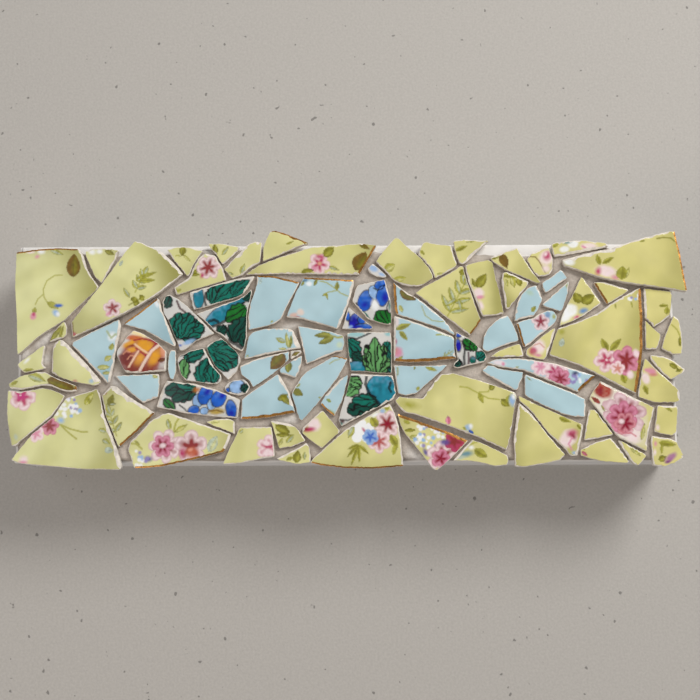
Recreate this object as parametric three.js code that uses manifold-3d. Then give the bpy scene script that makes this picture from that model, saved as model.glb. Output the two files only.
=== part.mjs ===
// Mosaic panel: a fish of broken china pressed into grout on a small stretched canvas.
// Millimetres. The panel is drawn lying face up (x right, y up the picture, z out of its face)
// and stood upright at the end, so its face looks along -Y, up is +Z and its back is at y = 0.
import * as THREE from "three";
import { mergeVertices } from "three/addons/utils/BufferGeometryUtils.js";
import Module from "manifold-3d";

const wasm = await Module();
wasm.setup();

// Driving dimensions
const PANEL_W = 304.8;
const PANEL_H = 101.6;
const PANEL_D = 38.1;
const CLOTH_T = 0.6;
const FOLD_W = 12;
const GAP = 0.3;
const BAR_W = 18;
const BAR_LIP = 4;
const BAR_RELIEF = 3;
const BED_TOP = 3.2;
const BED_EDGE = 0.6;
const BED_TOP_MARGIN = 1.8;
const CHINA_T = 3.6;
const SHARD_EDGE = 4.8;
const OWN_SHARDS = 54;
const MOUNT_Z = PANEL_H / 2 - FOLD_W / 2;

const FACE = PANEL_D;
const ABOVE = FACE + PANEL_H;
const SLAB_SPARE = 2;

// The shards' corners are drawn on a sheet of 304.8 by 101.6, and spread with the panel.
const ACROSS = PANEL_W / 304.8;
const UPWARD = PANEL_H / 101.6;

// Glazes
const YELLOW = { color: 0xd3d28c, roughness: 0.16 };
const BLUE = { color: 0xb3d0d6, roughness: 0.16 };
const ROSE = { color: 0xd98f4a, roughness: 0.18 };
const LEAF = { color: 0x6f8f86, roughness: 0.22 };
const PETAL = { color: 0x8fa4cf, roughness: 0.22 };

// The shards, as seen from the front. Corners are x, y from the panel's centre.
// tilt is the rise per millimetre to the right and upward, bow the bent axis's angle in
// degrees and its curvature, lift how much higher than its neighbours the shard is stuck.
const shards = [];
function shard(name, glaze, form, drawn) {
  const corners = drawn.map(([x, y]) => [x * ACROSS, y * UPWARD]);
  const drawnArea = Math.abs(signedArea(drawn));
  const { tilt = [0, 0], bow = [0, 0], lift = 0 } = form;
  const bent = [bow[0], bow[1] / ACROSS];
  shards.push({ name, glaze, tilt, bow: bent, lift, corners, drawnArea });
}

function signedArea(corners) {
  let sum = 0;
  corners.forEach(([x, y], i) => {
    const [nx, ny] = corners[(i + 1) % corners.length];
    sum += x * ny - nx * y;
  });
  return sum / 2;
}

function centreOf(corners) {
  const xs = corners.map((c) => c[0]);
  const ys = corners.map((c) => c[1]);
  return [(Math.min(...xs) + Math.max(...xs)) / 2, (Math.min(...ys) + Math.max(...ys)) / 2];
}

// Border, top edge from left to right
shard("border_top_left", YELLOW, { bow: [0, 0.006] }, [
  [-153.5, 47.2], [-153.7, 31.2], [-152.4, 16], [-151.6, -1], [-149.8, 0.2], [-141.9, 7.3],
  [-133.1, 13.1], [-129.8, 15.1], [-119.6, 25.5], [-115.6, 29.2], [-114.6, 30.8], [-117.3, 34.3],
  [-120.4, 39.3], [-121.9, 45.1], [-124.2, 48.5], [-133.1, 48.9], [-142.7, 48.5],
]);
shard("border_top_2", YELLOW, { tilt: [0, 0.03] }, [
  [-121, 47.6], [-120.9, 45.4], [-116.4, 35.4], [-113.6, 32.6], [-112.9, 32.9], [-107.1, 43.5],
  [-105.6, 47.9], [-110, 48.8], [-117.7, 48.7],
]);
shard("border_top_3", YELLOW, { tilt: [-0.02, 0], bow: [35, 0.007] }, [
  [-126.9, 13.9], [-126.2, 7], [-115.5, 11.5], [-102, 17.8], [-94.5, 21.9], [-86.5, 27],
  [-75.3, 36.5], [-80, 42], [-85, 46.6], [-94.8, 51.2], [-97.8, 51.8], [-103, 45.1],
  [-112.6, 31.4], [-115.2, 28.2],
]);
shard("border_top_4", YELLOW, { tilt: [0, 0.02] }, [
  [-83, 48], [-80.3, 43.9], [-76.1, 38.9], [-73.4, 35.6], [-72.6, 36], [-70.5, 41.2],
  [-66.2, 47.6], [-74.5, 49.6], [-78.5, 49.4],
]);
shard("border_top_5", YELLOW, { tilt: [0.01, 0.03] }, [
  [-79.5, 30.3], [-78.4, 26.8], [-67.2, 30.1], [-55.2, 33.6], [-56.8, 38.9], [-60.6, 45.2],
  [-65.6, 46.2], [-67.5, 44.6], [-69.9, 41], [-72, 36], [-73, 34.6],
]);
shard("border_top_6", YELLOW, { tilt: [-0.01, 0.05] }, [
  [-63.9, 50.9], [-62.6, 48.5], [-59.9, 45.6], [-57.1, 41.1], [-54.5, 43], [-50.6, 46.8],
  [-49.3, 49.3], [-56.5, 50.7],
]);
shard("border_top_7", YELLOW, { tilt: [0, 0.03], bow: [40, 0.008] }, [
  [-56.3, 38.7], [-52.4, 34.4], [-47.4, 36.2], [-45, 38.8], [-42, 40.6], [-39.7, 41.8],
  [-38.9, 49.3], [-38.9, 51.4], [-41.4, 51.8], [-44.8, 50.6], [-49.8, 45.8],
]);
shard("border_top_8", YELLOW, { tilt: [0.02, -0.02], lift: 0.6 }, [
  [-38.2, 42.3], [-34.5, 43.7], [-29.8, 45.6], [-25.5, 47.5], [-22, 49.2], [-16.8, 50.7],
  [-22.2, 53], [-27.5, 55.2], [-32.5, 56.8], [-34.7, 56.5], [-36.2, 53.9], [-37.9, 49.5],
]);
shard("border_top_long", YELLOW, { bow: [90, 0.012] }, [
  [-46.2, 36.2], [-29.1, 36.6], [-9, 36.3], [6.5, 35.9], [10.6, 42.8], [14.6, 49.7],
  [7.5, 50.7], [-7.2, 49.5], [-14.8, 49.1], [-20.2, 47.4], [-29.8, 44.5], [-39.8, 40.6],
]);
shard("border_top_10", YELLOW, { tilt: [0.01, 0.02], bow: [60, 0.005], lift: 0.5 }, [
  [14.3, 41.9], [17.5, 38.7], [20.4, 35.6], [22.9, 33], [26.8, 31], [30.6, 30.3],
  [35.2, 30.5], [40.8, 34], [40.6, 35.4], [39.2, 38.4], [35.2, 43.3], [27.9, 49.7],
  [25.2, 52.6], [23.9, 53.2], [22.4, 52.3], [17.5, 46.6],
]);
shard("border_top_11", YELLOW, { tilt: [0.01, 0.01] }, [
  [36.2, 50.6], [34.9, 47.8], [34, 45.4], [35.9, 43.6], [39.9, 38.6], [41.9, 34.1],
  [45.2, 35.7], [50.8, 38.9], [52, 40.8], [50.2, 45.8], [49.6, 49], [40.2, 50.5], [37.9, 51.3],
]);
shard("border_top_12", YELLOW, { tilt: [0.02, 0.01] }, [
  [50.4, 51.6], [50.8, 48.6], [53, 41.3], [54.7, 40.6], [56.5, 41.6], [61.2, 46.4],
  [64.3, 49.5], [67.2, 51.5], [55.7, 52.2],
]);
shard("border_top_13", YELLOW, { tilt: [0, 0.01], bow: [-10, 0.01] }, [
  [55.8, 40], [56.1, 37], [57.5, 31.2], [59.9, 25.1], [62.6, 18], [63.6, 16], [69.5, 16.6],
  [73.3, 17.3], [71.6, 26.2], [69.5, 35.1], [68.4, 41.2], [66.5, 42.4], [61.5, 41.5],
]);
shard("border_top_sprig", YELLOW, { tilt: [0, 0.01], bow: [-30, 0.003] }, [
  [32.5, 27], [36, 29.6], [41.6, 32.6], [46, 34.9], [51.4, 38], [53.4, 39.6], [54.9, 39.2],
  [55.3, 36.5], [56.7, 31.6], [58.7, 25.8], [60.6, 20], [62.4, 15.2], [62.6, 14], [57.6, 7.2],
  [54, 10], [50.6, 12.9], [46.3, 16], [40.6, 20.6], [33.6, 26.4],
]);
shard("border_top_14", YELLOW, { tilt: [-0.03, 0] }, [
  [73.2, 36.4], [72.6, 32], [73.9, 23.4], [74.2, 20], [75.2, 19.2], [80.3, 25.5],
  [84.3, 30.3], [85.2, 32.2], [79.9, 34.7], [75, 36.8],
]);
shard("border_top_15", YELLOW, { tilt: [0.02, 0.02], lift: 0.4 }, [
  [67.4, 43.3], [69.2, 41.4], [75, 37.6], [79.9, 35.5], [88.8, 31.4], [90.6, 31.7],
  [86.5, 37.4], [83.8, 41.6], [79.9, 48.2], [71.1, 45.1],
]);
shard("border_top_16", YELLOW, { tilt: [0.03, 0] }, [
  [84.4, 42.8], [86, 39.6], [88.3, 36], [89.6, 34.7], [93.4, 35], [95, 35.8], [96.2, 37.8],
  [96.4, 42.8], [94.6, 48.2], [91.5, 47.5], [86.5, 45.4],
]);
shard("border_top_17", YELLOW, { tilt: [0, 0.02] }, [
  [95.9, 49.6], [97.2, 44], [101, 44.4], [110, 46.1], [122.4, 48.6], [121.2, 50.2],
  [109.6, 51.6], [103.5, 51.2], [97.6, 50.5],
]);
shard("border_top_right", YELLOW, { tilt: [0.012, 0.01], bow: [10, 0.0028], lift: 0.9 }, [
  [100.7, 42.3], [101.4, 39.6], [109.6, 36.8], [120, 33.2], [130.8, 31], [146.2, 28.9],
  [157.7, 27], [155, 44.7], [152.8, 55.3], [150, 55.2], [137, 51.8], [123, 47.2], [115.4, 45.9],
]);

// Border, left edge
shard("border_left_1", YELLOW, { tilt: [-0.02, 0] }, [
  [-136.9, 4.9], [-135.2, 5.4], [-130.4, 7], [-129.2, 8.2], [-129, 11.6], [-129.9, 14.2],
  [-130.9, 14.3], [-133.1, 12], [-135.4, 9],
]);
shard("border_left_2", YELLOW, { tilt: [0.03, 0.02] }, [
  [-151.6, -5.5], [-150.2, -7.6], [-148.2, -9.3], [-140.9, -8], [-138, -7.2], [-140, -5.4],
  [-139.4, -1.2], [-138.8, 3.3], [-140, 3.1], [-148, -2.8],
]);
shard("border_left_3", YELLOW, { bow: [0, 0.004] }, [
  [-155.3, -14.4], [-154.6, -16.4], [-149.6, -17.2], [-139.2, -15.2], [-135.2, -15.6],
  [-130.4, -17.6], [-127.2, -18.2], [-123.6, -17.8], [-123.8, -15.6], [-126, -14.6],
  [-132, -12.4], [-136, -10.6], [-138.2, -9.2], [-142, -9], [-150, -11],
]);
shard("border_left_4", YELLOW, { tilt: [0.01, 0.03], bow: [45, 0.009], lift: 0.4 }, [
  [-134.4, 4], [-135, 0.6], [-135.4, -9.4], [-132, -11.2], [-126, -13.4], [-120, -14.5],
  [-115.4, -15.4], [-113.2, -14.8], [-112.7, -13.2], [-120.6, -4.2], [-127.4, 2.6],
  [-130.6, 5.7], [-132, 5.7],
]);
shard("border_left_5", YELLOW, { bow: [0, 0.012] }, [
  [-155.5, -17.5], [-155.7, -28], [-154.2, -38], [-152.8, -43.2], [-151, -43], [-148.4, -40.4],
  [-140.4, -34], [-134.8, -29.4], [-131, -23.6], [-129.2, -20], [-134.4, -17.6],
  [-139.2, -16.5], [-144, -17.5], [-149.6, -18.1],
]);

// Border, bottom edge from left to right
shard("border_bottom_left", YELLOW, { bow: [80, 0.005], tilt: [0, -0.01] }, [
  [-153, -49.6], [-148, -51.2], [-130, -52.8], [-120, -53.7], [-103, -54.1], [-102.2, -52.4],
  [-104.6, -44.4], [-107.6, -37], [-110.6, -30], [-112.9, -20.2], [-114.4, -16.9],
  [-120, -18.8], [-128, -21], [-130.4, -24], [-134, -30], [-143.6, -37.8],
]);
shard("border_bottom_2", YELLOW, { tilt: [0.02, 0.02], bow: [40, 0.006] }, [
  [-111.9, -20.2], [-110, -29.4], [-107, -36.4], [-104.2, -43.2], [-103.4, -43.6],
  [-94.8, -36], [-87.4, -28.1], [-100, -20.2], [-105.6, -15.8], [-107.8, -15.4],
]);
shard("border_bottom_3", YELLOW, { tilt: [0.005, 0.01], bow: [20, 0.005] }, [
  [-98.4, -41.2], [-94, -37.2], [-89.6, -32.2], [-84, -28.9], [-80.8, -28.2], [-65.6, -33.4],
  [-52.4, -38], [-53.2, -40.8], [-55.6, -46], [-68, -49.2], [-84, -52.6], [-92, -53.3],
  [-96.6, -53.2], [-99.6, -44.4],
]);
shard("border_bottom_4", YELLOW, { tilt: [0, 0.04] }, [
  [-64, -32.3], [-62, -33.4], [-52.2, -37.2], [-50.6, -38], [-50.8, -35], [-51, -32],
  [-53, -31.1], [-56, -30.9], [-60, -31.2],
]);
shard("border_bottom_5", YELLOW, { bow: [85, 0.008] }, [
  [-56, -51.7], [-48, -51.2], [-37.2, -49], [-33, -48.5], [-32.4, -48], [-33.3, -38.4],
  [-33.9, -34.7], [-48.2, -34.9], [-49.2, -36.4], [-50.4, -39.4], [-52.4, -43.2],
]);
shard("border_bottom_6", YELLOW, { tilt: [-0.02, 0.01] }, [
  [-34.2, -31.9], [-33.2, -34.6], [-32, -38.6], [-30.2, -44.6], [-24, -43.6], [-18.2, -41],
  [-20.4, -37.8], [-22.8, -34.9], [-25.6, -33.3],
]);
shard("border_bottom_7", YELLOW, { tilt: [0.03, 0.01] }, [
  [-31.6, -49.2], [-29.6, -50.1], [-22, -51.7], [-16.1, -50.9], [-15.9, -48], [-16.6, -44],
  [-17.8, -42], [-20.8, -44], [-28, -47.4],
]);
shard("border_bottom_8", YELLOW, { tilt: [0.01, -0.02] }, [
  [-19.8, -37.6], [-19.6, -35.2], [-16, -32], [-10.9, -27.3], [-10, -27.6], [-2.4, -36.8],
  [-8, -42], [-10.9, -44.6], [-16, -40.8],
]);
shard("border_bottom_9", YELLOW, { bow: [5, 0.004], lift: 0.3 }, [
  [-16, -51.1], [-14.8, -49.2], [-12, -46.8], [-8, -43.2], [0.4, -35.9], [10, -30.2],
  [20.2, -24.1], [21.2, -25.8], [23, -30], [24.4, -34.4], [25.2, -40], [26.4, -52.6],
  [22, -53.2], [12, -53.9], [0, -53.6], [-10, -52.4],
]);
shard("border_bottom_10", YELLOW, { bow: [75, 0.006], lift: 0.4 }, [
  [22.8, -22.8], [25.2, -26.4], [27, -28.2], [32, -29.2], [48, -34.8], [60, -39.4],
  [73.4, -45.6], [75, -40], [77.6, -24.4], [78.4, -21.4], [77.9, -19.4], [62, -13.8],
  [49.6, -10.3], [43.8, -10.8], [40.4, -15], [35.4, -22], [28, -21.6], [24.6, -21],
]);
shard("border_bottom_11", YELLOW, { tilt: [0.01, -0.01], lift: 0.2 }, [
  [24, -29], [30, -31], [48, -37.8], [56, -41.4], [55, -42.4], [48, -49.4], [41.6, -54.8],
  [39.8, -54], [36, -48.8], [27.4, -38.2], [25.2, -34],
]);
shard("border_bottom_12", YELLOW, { tilt: [0.01, 0.02] }, [
  [57.8, -40.8], [64, -43.2], [73.9, -48.2], [74.2, -50.4], [73.6, -52.4], [68.8, -52.9],
  [62, -51.4], [56, -50.4], [49, -50.4],
]);
shard("border_bottom_13", YELLOW, { bow: [70, 0.005] }, [
  [79.4, -24], [82.8, -26.8], [86, -30.4], [92.2, -38.8], [100, -47.8], [97.6, -50.4],
  [86, -52.6], [80, -53.4], [77.4, -53], [76.9, -40.5], [77.8, -34], [78.8, -28],
]);
shard("border_bottom_14", YELLOW, { tilt: [0, -0.01], bow: [-25, 0.004] }, [
  [79.3, -20.9], [82, -22.1], [88, -25.2], [100, -30.6], [108.6, -34.2], [107.9, -38.4],
  [105.6, -48.2], [102.6, -48.4], [99.6, -44.6], [92.8, -38.2], [86.5, -29.8], [83.2, -26.2],
  [80, -23.4],
]);
shard("border_bottom_15", YELLOW, { tilt: [0.02, 0] }, [
  [111.4, -27.2], [114.2, -27.4], [120.2, -35.8], [122.2, -38.9], [119.2, -39.5],
  [114, -40.6], [108.9, -41.2], [109.6, -36.8], [110.7, -31],
]);
shard("border_bottom_16", YELLOW, { tilt: [0, -0.03] }, [
  [107.2, -45.6], [114, -42.2], [121, -40.3], [124, -44], [129, -51.2], [128, -51.7],
  [116, -50.7], [107.2, -48.2],
]);
shard("border_bottom_17", YELLOW, { tilt: [-0.02, 0] }, [
  [124.2, -41.3], [126.4, -42], [134, -46.4], [136.6, -47.8], [136.8, -48.8], [133.2, -52.8],
  [131.4, -52.2], [129, -49.2],
]);
shard("border_bottom_right", YELLOW, { tilt: [-0.02, 0] }, [
  [139.6, -39.4], [148, -40.6], [150.8, -42], [153.8, -48.4], [153.1, -49.8], [150, -51.6],
  [144.8, -53.2], [140, -52.8], [139.3, -42],
]);

// Border, right end
shard("border_right_1", YELLOW, { tilt: [0.01, -0.02] }, [
  [138.2, 28.8], [138.3, 15], [141.2, 12.6], [142.2, 10.7], [146.9, 13.7], [149.4, 15.8],
  [150.3, 19.7], [150.9, 26], [150.4, 27.3],
]);
shard("border_right_2", YELLOW, { tilt: [-0.03, 0.01] }, [
  [138.3, 13.8], [140.8, 11.2], [142.6, 9.4], [145.2, 7.4], [145, 5], [143.3, 0.6], [138.2, 0.4],
]);
shard("border_right_3", YELLOW, { tilt: [0.02, 0.01] }, [
  [151.4, 16], [150.6, 14.2], [149, 10.8], [147.5, 7.2], [145.4, 0.8], [150.4, -1.8],
  [154.6, -1.8], [155, 2], [154.8, 8.2], [153.6, 14.2],
]);
shard("border_right_4", YELLOW, { tilt: [0.02, 0.02] }, [
  [140.2, -2.2], [146, -2.8], [150, -4.6], [155.9, -8.9], [155, -10.4], [149.4, -13.6],
  [146, -11], [142.6, -7.2], [140.4, -4.2],
]);
shard("border_right_5", YELLOW, { tilt: [0, 0.02] }, [
  [137.6, -3.8], [138.8, -4.8], [142, -8.4], [148.8, -14.6], [152.9, -18.9], [153, -23.4],
  [150.8, -24.1], [141.6, -24], [134.1, -21.4], [134.3, -18.6], [135.4, -13.4], [136.4, -8.2],
]);
shard("border_right_6", YELLOW, { tilt: [0, -0.01], bow: [0, 0.012] }, [
  [142.8, -25.4], [151.9, -26], [151.7, -29.2], [150.7, -38.2], [149, -39.3], [146, -38.7],
  [141, -37.5], [141.6, -33.2], [142.3, -29.2],
]);

// Fish, head
shard("head_eye", ROSE, { bow: [60, 0.012], lift: 0.4 }, [
  [-97.8, 10.2], [-100.7, 7.2], [-103.8, 2.6], [-105, 1.2], [-105.4, -1.6], [-104, -4.4],
  [-101.2, -9.4], [-96, -9.7], [-82.6, -8.8], [-82.6, 0.2], [-86.5, 4.2], [-93.8, 8.7],
]);
shard("head_mouth", BLUE, { bow: [-40, 0.005] }, [
  [-125.8, 5], [-126.4, 3.4], [-120, -3.2], [-109.8, -14.2], [-108.6, -13.8], [-107, -6],
  [-105.8, 2], [-104.8, 7], [-103.9, 12.6], [-104.8, 15.4], [-115.5, 10.4],
]);
shard("head_brow", BLUE, { tilt: [0.02, 0.02], bow: [40, 0.006] }, [
  [-102.6, 13.4], [-101.6, 12.9], [-92.6, 10.3], [-84.9, 5.7], [-78.8, 2.6], [-78.2, 3.8],
  [-83, 15.1], [-85.3, 20.5], [-86.2, 24.2], [-86.9, 25.3], [-95, 18.9],
]);
shard("head_gill", BLUE, {}, [
  [-80.4, 1], [-81.4, -0.8], [-81.9, -8], [-80.8, -12], [-79.2, -12.8], [-78.1, -9],
  [-78.1, -4], [-78.4, 0.8],
]);
shard("head_chin", BLUE, { tilt: [0.01, 0] }, [
  [-106.4, -10.8], [-102.8, -14.6], [-98, -19.4], [-92.9, -23.5], [-86.2, -20.8],
  [-85.6, -15.2], [-86, -10], [-96, -10.5],
]);

// Fish, leafy collar
shard("collar_1", LEAF, { tilt: [0.02, 0.02] }, [
  [-72.2, 27.9], [-71.6, 25.1], [-70.2, 19.8], [-63.4, 21.4], [-58, 23.2], [-50.2, 25.4],
  [-46.8, 27.6], [-42.9, 33.4], [-42, 35.3], [-51, 34], [-60.3, 31.4],
]);
shard("collar_2", LEAF, { bow: [-45, 0.006] }, [
  [-81.6, 27], [-83.4, 26.2], [-84.9, 23.5], [-84.2, 18.5], [-81.6, 14.3], [-79.5, 8.9],
  [-77.4, 4.4], [-76.2, 0.6], [-74.6, 0.8], [-72.2, 2.4], [-69.2, 5.1], [-60.4, 8.6],
  [-69.2, 17.4], [-73.4, 21.6], [-78, 25.1],
]);
shard("collar_3", LEAF, { tilt: [0, -0.01], bow: [-40, 0.004] }, [
  [-69, 17.8], [-65, 14.6], [-60, 9.4], [-56.8, 7.6], [-54.2, 5.4], [-51.8, 2.2], [-47.6, 0.2],
  [-46.4, 3], [-45.6, 7], [-45.5, 18], [-43.3, 27.5], [-43.6, 29.4], [-46, 26.6],
  [-49.6, 24.5], [-58, 21.6],
]);
shard("collar_4", LEAF, { tilt: [0.02, -0.02] }, [
  [-64.2, 2], [-62.4, -2], [-60, -6.6], [-53.8, -13], [-50.2, -9.4], [-48.4, -4.4],
  [-48.4, -2.6], [-50, -0.2], [-57.4, 6.6], [-63.4, 3.4],
]);
shard("collar_5", LEAF, { tilt: [0, 0.01] }, [
  [-77.4, -3], [-77.2, -5.6], [-76, -10], [-73.8, -13], [-62.8, -14.7], [-58.8, -14.8],
  [-57.2, -13.4], [-57.2, -10.8], [-60.6, -7.2], [-64.6, 0.4], [-65.4, 1.8], [-71.6, 0.6],
  [-74.4, -1], [-76, -1.4],
]);
shard("collar_6", PETAL, { bow: [-15, 0.006], lift: 0.3 }, [
  [-86.8, -25.4], [-84.8, -19], [-82.4, -13.3], [-80.2, -13.6], [-68.6, -15], [-60, -17.4],
  [-48.3, -22.2], [-49.2, -28], [-49.6, -30.6], [-60, -29.9], [-74, -28.2], [-79, -26.9],
]);
shard("collar_7", PETAL, { tilt: [0, 0.03] }, [
  [-55.6, -16.6], [-54.9, -18.2], [-52.6, -19.4], [-48.8, -20.2], [-45.4, -19.2],
  [-43.8, -16.2], [-45, -14.2], [-46.6, -12.8], [-51.6, -13.2], [-54.4, -14.8],
]);

// Fish, pale blue body
shard("body_1", BLUE, { tilt: [0, 0.01], bow: [20, 0.005] }, [
  [-40.8, 35.6], [-41, 31.2], [-42.4, 26.6], [-44.2, 21.2], [-44.9, 15.8], [-44.6, 10.2],
  [-38.7, 11.4], [-32.9, 13], [-29.9, 15], [-27.3, 20.5], [-21.2, 32.2], [-26.8, 33.8],
  [-32.9, 35.2],
]);
shard("body_2", BLUE, { tilt: [-0.01, 0], bow: [15, 0.006], lift: 0.2 }, [
  [-19.1, 34.4], [-22.9, 27.2], [-27.2, 16.1], [-19.8, 15.3], [-9.8, 12.4], [-3.6, 10.4],
  [-2.4, 12.4], [1.4, 22], [4, 31], [4.2, 33.2], [-10, 34],
]);
shard("body_3", BLUE, { bow: [80, 0.006] }, [
  [-46.6, -3.4], [-45.9, 0], [-44.6, 7], [-42.9, 9], [-38.7, 10.3], [-32.9, 10.8], [-26, 10.8],
  [-24, 9.8], [-20.4, 1.6], [-24, 1.2], [-33.6, -0.6],
]);
shard("body_4", BLUE, { tilt: [0.01, 0.01] }, [
  [-22, 12], [-20.8, 7], [-18.6, -3], [-18, -5.8], [-12, -3.4], [-4.2, -0.2], [-1.4, 0.2],
  [-0.4, 4], [-0.8, 7.2], [-6.4, 9.2],
]);
shard("body_5", BLUE, { tilt: [-0.01, 0.01] }, [
  [-48.4, -6.4], [-48.4, -8], [-47.8, -10.6], [-44.2, -13.2], [-42.4, -16.5], [-36, -12.2],
  [-30.9, -8.2], [-26, -3.6], [-25.9, 0.1], [-28, -0.3], [-40, -3],
]);
shard("body_6", BLUE, { tilt: [0.02, 0] }, [
  [-30.2, -8.2], [-29.9, -9.8], [-23, -12.2], [-21.4, -9.6], [-20.2, -5.2], [-19.9, -1.8],
  [-24.4, -4.2],
]);
shard("body_7", LEAF, {}, [
  [-25.2, 0.4], [-25.2, -3.4], [-24.6, -3.3], [-20.2, -0.6], [-20.3, 0.6],
]);
shard("body_8", BLUE, { tilt: [0, 0.01], bow: [20, 0.006] }, [
  [-47.5, -22.1], [-47.7, -27], [-48, -31], [-40, -30.8], [-34, -30.1], [-23.1, -28.2],
  [-24.4, -23.2], [-26, -18.4], [-28.4, -14], [-30.6, -10.6], [-31.6, -10.8], [-44.8, -19.8],
]);
shard("body_9", BLUE, { tilt: [0, 0.01], bow: [-35, 0.005] }, [
  [-20, -32], [-21.2, -30.8], [-23.4, -23.6], [-24.6, -20], [-24.2, -18.2], [-20.4, -12],
  [-18, -9.4], [-4.8, -2], [1.1, -3.5], [-3.4, -12], [-12.2, -23.2], [-16, -27.6],
]);
shard("body_10", BLUE, { tilt: [0.02, 0] }, [
  [-11.4, -24], [-9, -20.1], [-2.6, -13], [1.2, -10.8], [1, -13], [-1.4, -22.6], [-3.8, -27.4],
  [-5, -29.8], [-8.6, -27],
]);

// Fish, leafy band behind the body
shard("band_top", PETAL, { tilt: [0, 0.02] }, [
  [10.4, 38.6], [12.8, 41.2], [16.6, 37.9], [19.4, 35], [18.2, 34.4], [14.6, 35], [11.6, 36.6],
]);
shard("band_1", PETAL, { tilt: [0.02, 0.01] }, [
  [6, 31], [5, 29.4], [3.3, 23.5], [7.5, 18.7], [10.6, 15.1], [17.5, 12.9], [21.2, 12.4],
  [21.4, 15.8], [20.9, 24.3], [18.5, 33.2], [17.4, 33.4],
]);
shard("band_2", PETAL, { tilt: [0.01, 0.03] }, [
  [1.6, 20.8], [0.7, 18.4], [-0.3, 13.9], [-1.5, 10.5], [12.4, 10.3], [12.7, 11.4],
  [7, 15.8], [3.7, 18.7],
]);
shard("band_3", LEAF, { tilt: [0, -0.01] }, [
  [0.9, 8.6], [1.1, 3], [2.5, -9.1], [8, -9.2], [16, -10.1], [21.3, -10.2], [21.4, 2],
  [21.2, 8.7], [11.4, 9],
]);
shard("band_4", LEAF, { bow: [60, 0.005] }, [
  [2.6, -10.3], [2, -13.2], [0.4, -19.6], [-1.8, -26.4], [-3.2, -31.6], [-1.8, -34.6],
  [6, -30.4], [22, -22.2], [23.2, -19.6], [22.5, -15.2], [21.8, -11.2], [10, -10.8],
]);

// Fish, rear of the body
shard("rear_1", BLUE, { tilt: [0, 0.02], bow: [50, 0.006] }, [
  [22.4, 32.2], [22.6, 27.4], [23, 20], [23.9, 17.3], [34.5, 13.8], [46, 9.8], [50.4, 7.3],
  [50.2, 8.6], [45.4, 14.8], [36.4, 22.5], [26.8, 28.6],
]);
shard("rear_2", BLUE, { bow: [10, 0.008], lift: 0.2 }, [
  [22.6, 16.3], [22.4, 2], [22.4, -4.5], [30, -5.1], [38, -4.9], [44, -4.1], [51.2, -3.5],
  [50.4, -1], [50.1, 2], [50.2, 5.8], [49.3, 6.8], [34.5, 12.5], [24.1, 16],
]);
shard("rear_3", BLUE, { tilt: [0, 0.02], bow: [20, 0.006] }, [
  [22.4, -6.5], [22.9, -11], [23.6, -15.6], [24.3, -19.6], [28, -20.4], [32.4, -19.6],
  [40, -13], [47.2, -6.5], [40, -6.8], [30, -7],
]);

// Fish, tail root and forked tail
shard("tail_root", LEAF, { bow: [70, 0.012], lift: 0.5 }, [
  [51, 8.8], [50.9, 2], [51.3, -2.2], [52, -4], [50, -5.6], [49.8, -7.4], [52, -8],
  [57.2, -6.6], [63.8, -5.2], [65, -3.6], [64.4, -1.2], [60.6, 2.2], [57.3, 5.4], [54.4, 6.9],
]);
shard("tail_1", BLUE, { tilt: [0, 0.01], bow: [30, 0.006] }, [
  [74.6, 16.4], [72.6, 15.8], [68.8, 13.3], [65.7, 10.1], [63.9, 6.6], [63.3, 2], [63.6, 0.6],
  [65.6, -0.4], [70, 1.3], [79.8, 4.7], [79.2, 8], [77.2, 12.6], [75.3, 16],
]);
shard("tail_2", YELLOW, { tilt: [0, -0.02] }, [
  [66.8, -2.8], [72, -2.9], [82, -2.6], [81.4, 0.8], [80.4, 3.2], [76, 2], [70.4, -0.2],
]);
shard("tail_3", BLUE, { tilt: [-0.02, -0.02] }, [
  [79, 12.8], [80.3, 8.2], [81.6, 3], [82.4, 1.6], [84.9, 3], [88.4, 6.2], [95.3, 11.4],
  [96.9, 13.3], [97.9, 15.8], [96.4, 18.2], [93.8, 18.7], [89.2, 16.9], [86.9, 15.1],
  [82.6, 14.2],
]);
shard("tail_4", BLUE, { tilt: [-0.01, -0.02] }, [
  [85.1, 29.6], [81.6, 26.2], [79.7, 22.6], [78.5, 16.6], [78.2, 13.7], [82.6, 15.1],
  [86.8, 15.9], [88.9, 18.8], [91.2, 24.2], [90.2, 27.4], [88.5, 30.6],
]);
shard("tail_5", BLUE, { tilt: [0.02, -0.02] }, [
  [91.3, 31.6], [91.7, 28.9], [92.8, 27], [94.2, 27.6], [102.9, 33.9], [100.8, 37],
  [100, 37.8], [95.3, 34.2],
]);
shard("tail_6", BLUE, { tilt: [0.01, 0.02] }, [
  [91.1, 21.6], [92.2, 20.6], [96.1, 19.5], [99.4, 18.2], [100.2, 18.9], [102.2, 24.3],
  [103.2, 28.2], [103.6, 32.4], [100.4, 29.6],
]);
shard("tail_7", YELLOW, { tilt: [0, -0.02] }, [
  [98.9, 11.4], [103.8, 13.2], [109.6, 15.9], [117, 20.9], [118.2, 22.2], [115.2, 26.6],
  [110.6, 33.4], [109.4, 34.4], [107.5, 30.6], [104.9, 25.2], [101, 18.2], [99.6, 14.6],
]);
shard("tail_8", YELLOW, { tilt: [-0.03, 0] }, [
  [95.9, 10.2], [91.5, 7.2], [88.4, 4.6], [85.8, 2.2], [83.6, 0.6], [83, -1.8], [84.4, -2.9],
  [91, -4.2], [91.6, -4], [93.2, -1.2], [96, 6.6], [97, 10.2],
]);
shard("tail_9", BLUE, { bow: [-20, 0.002] }, [
  [65, -5.7], [66.6, -6], [70.4, -7.3], [82, -9], [92, -13.3], [106.6, -19.2], [110.6, -15.6],
  [114.8, -11.9], [106, -9], [96, -6], [84, -4.1], [78, -3.6], [72, -3.7], [68, -4.4],
]);
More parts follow.
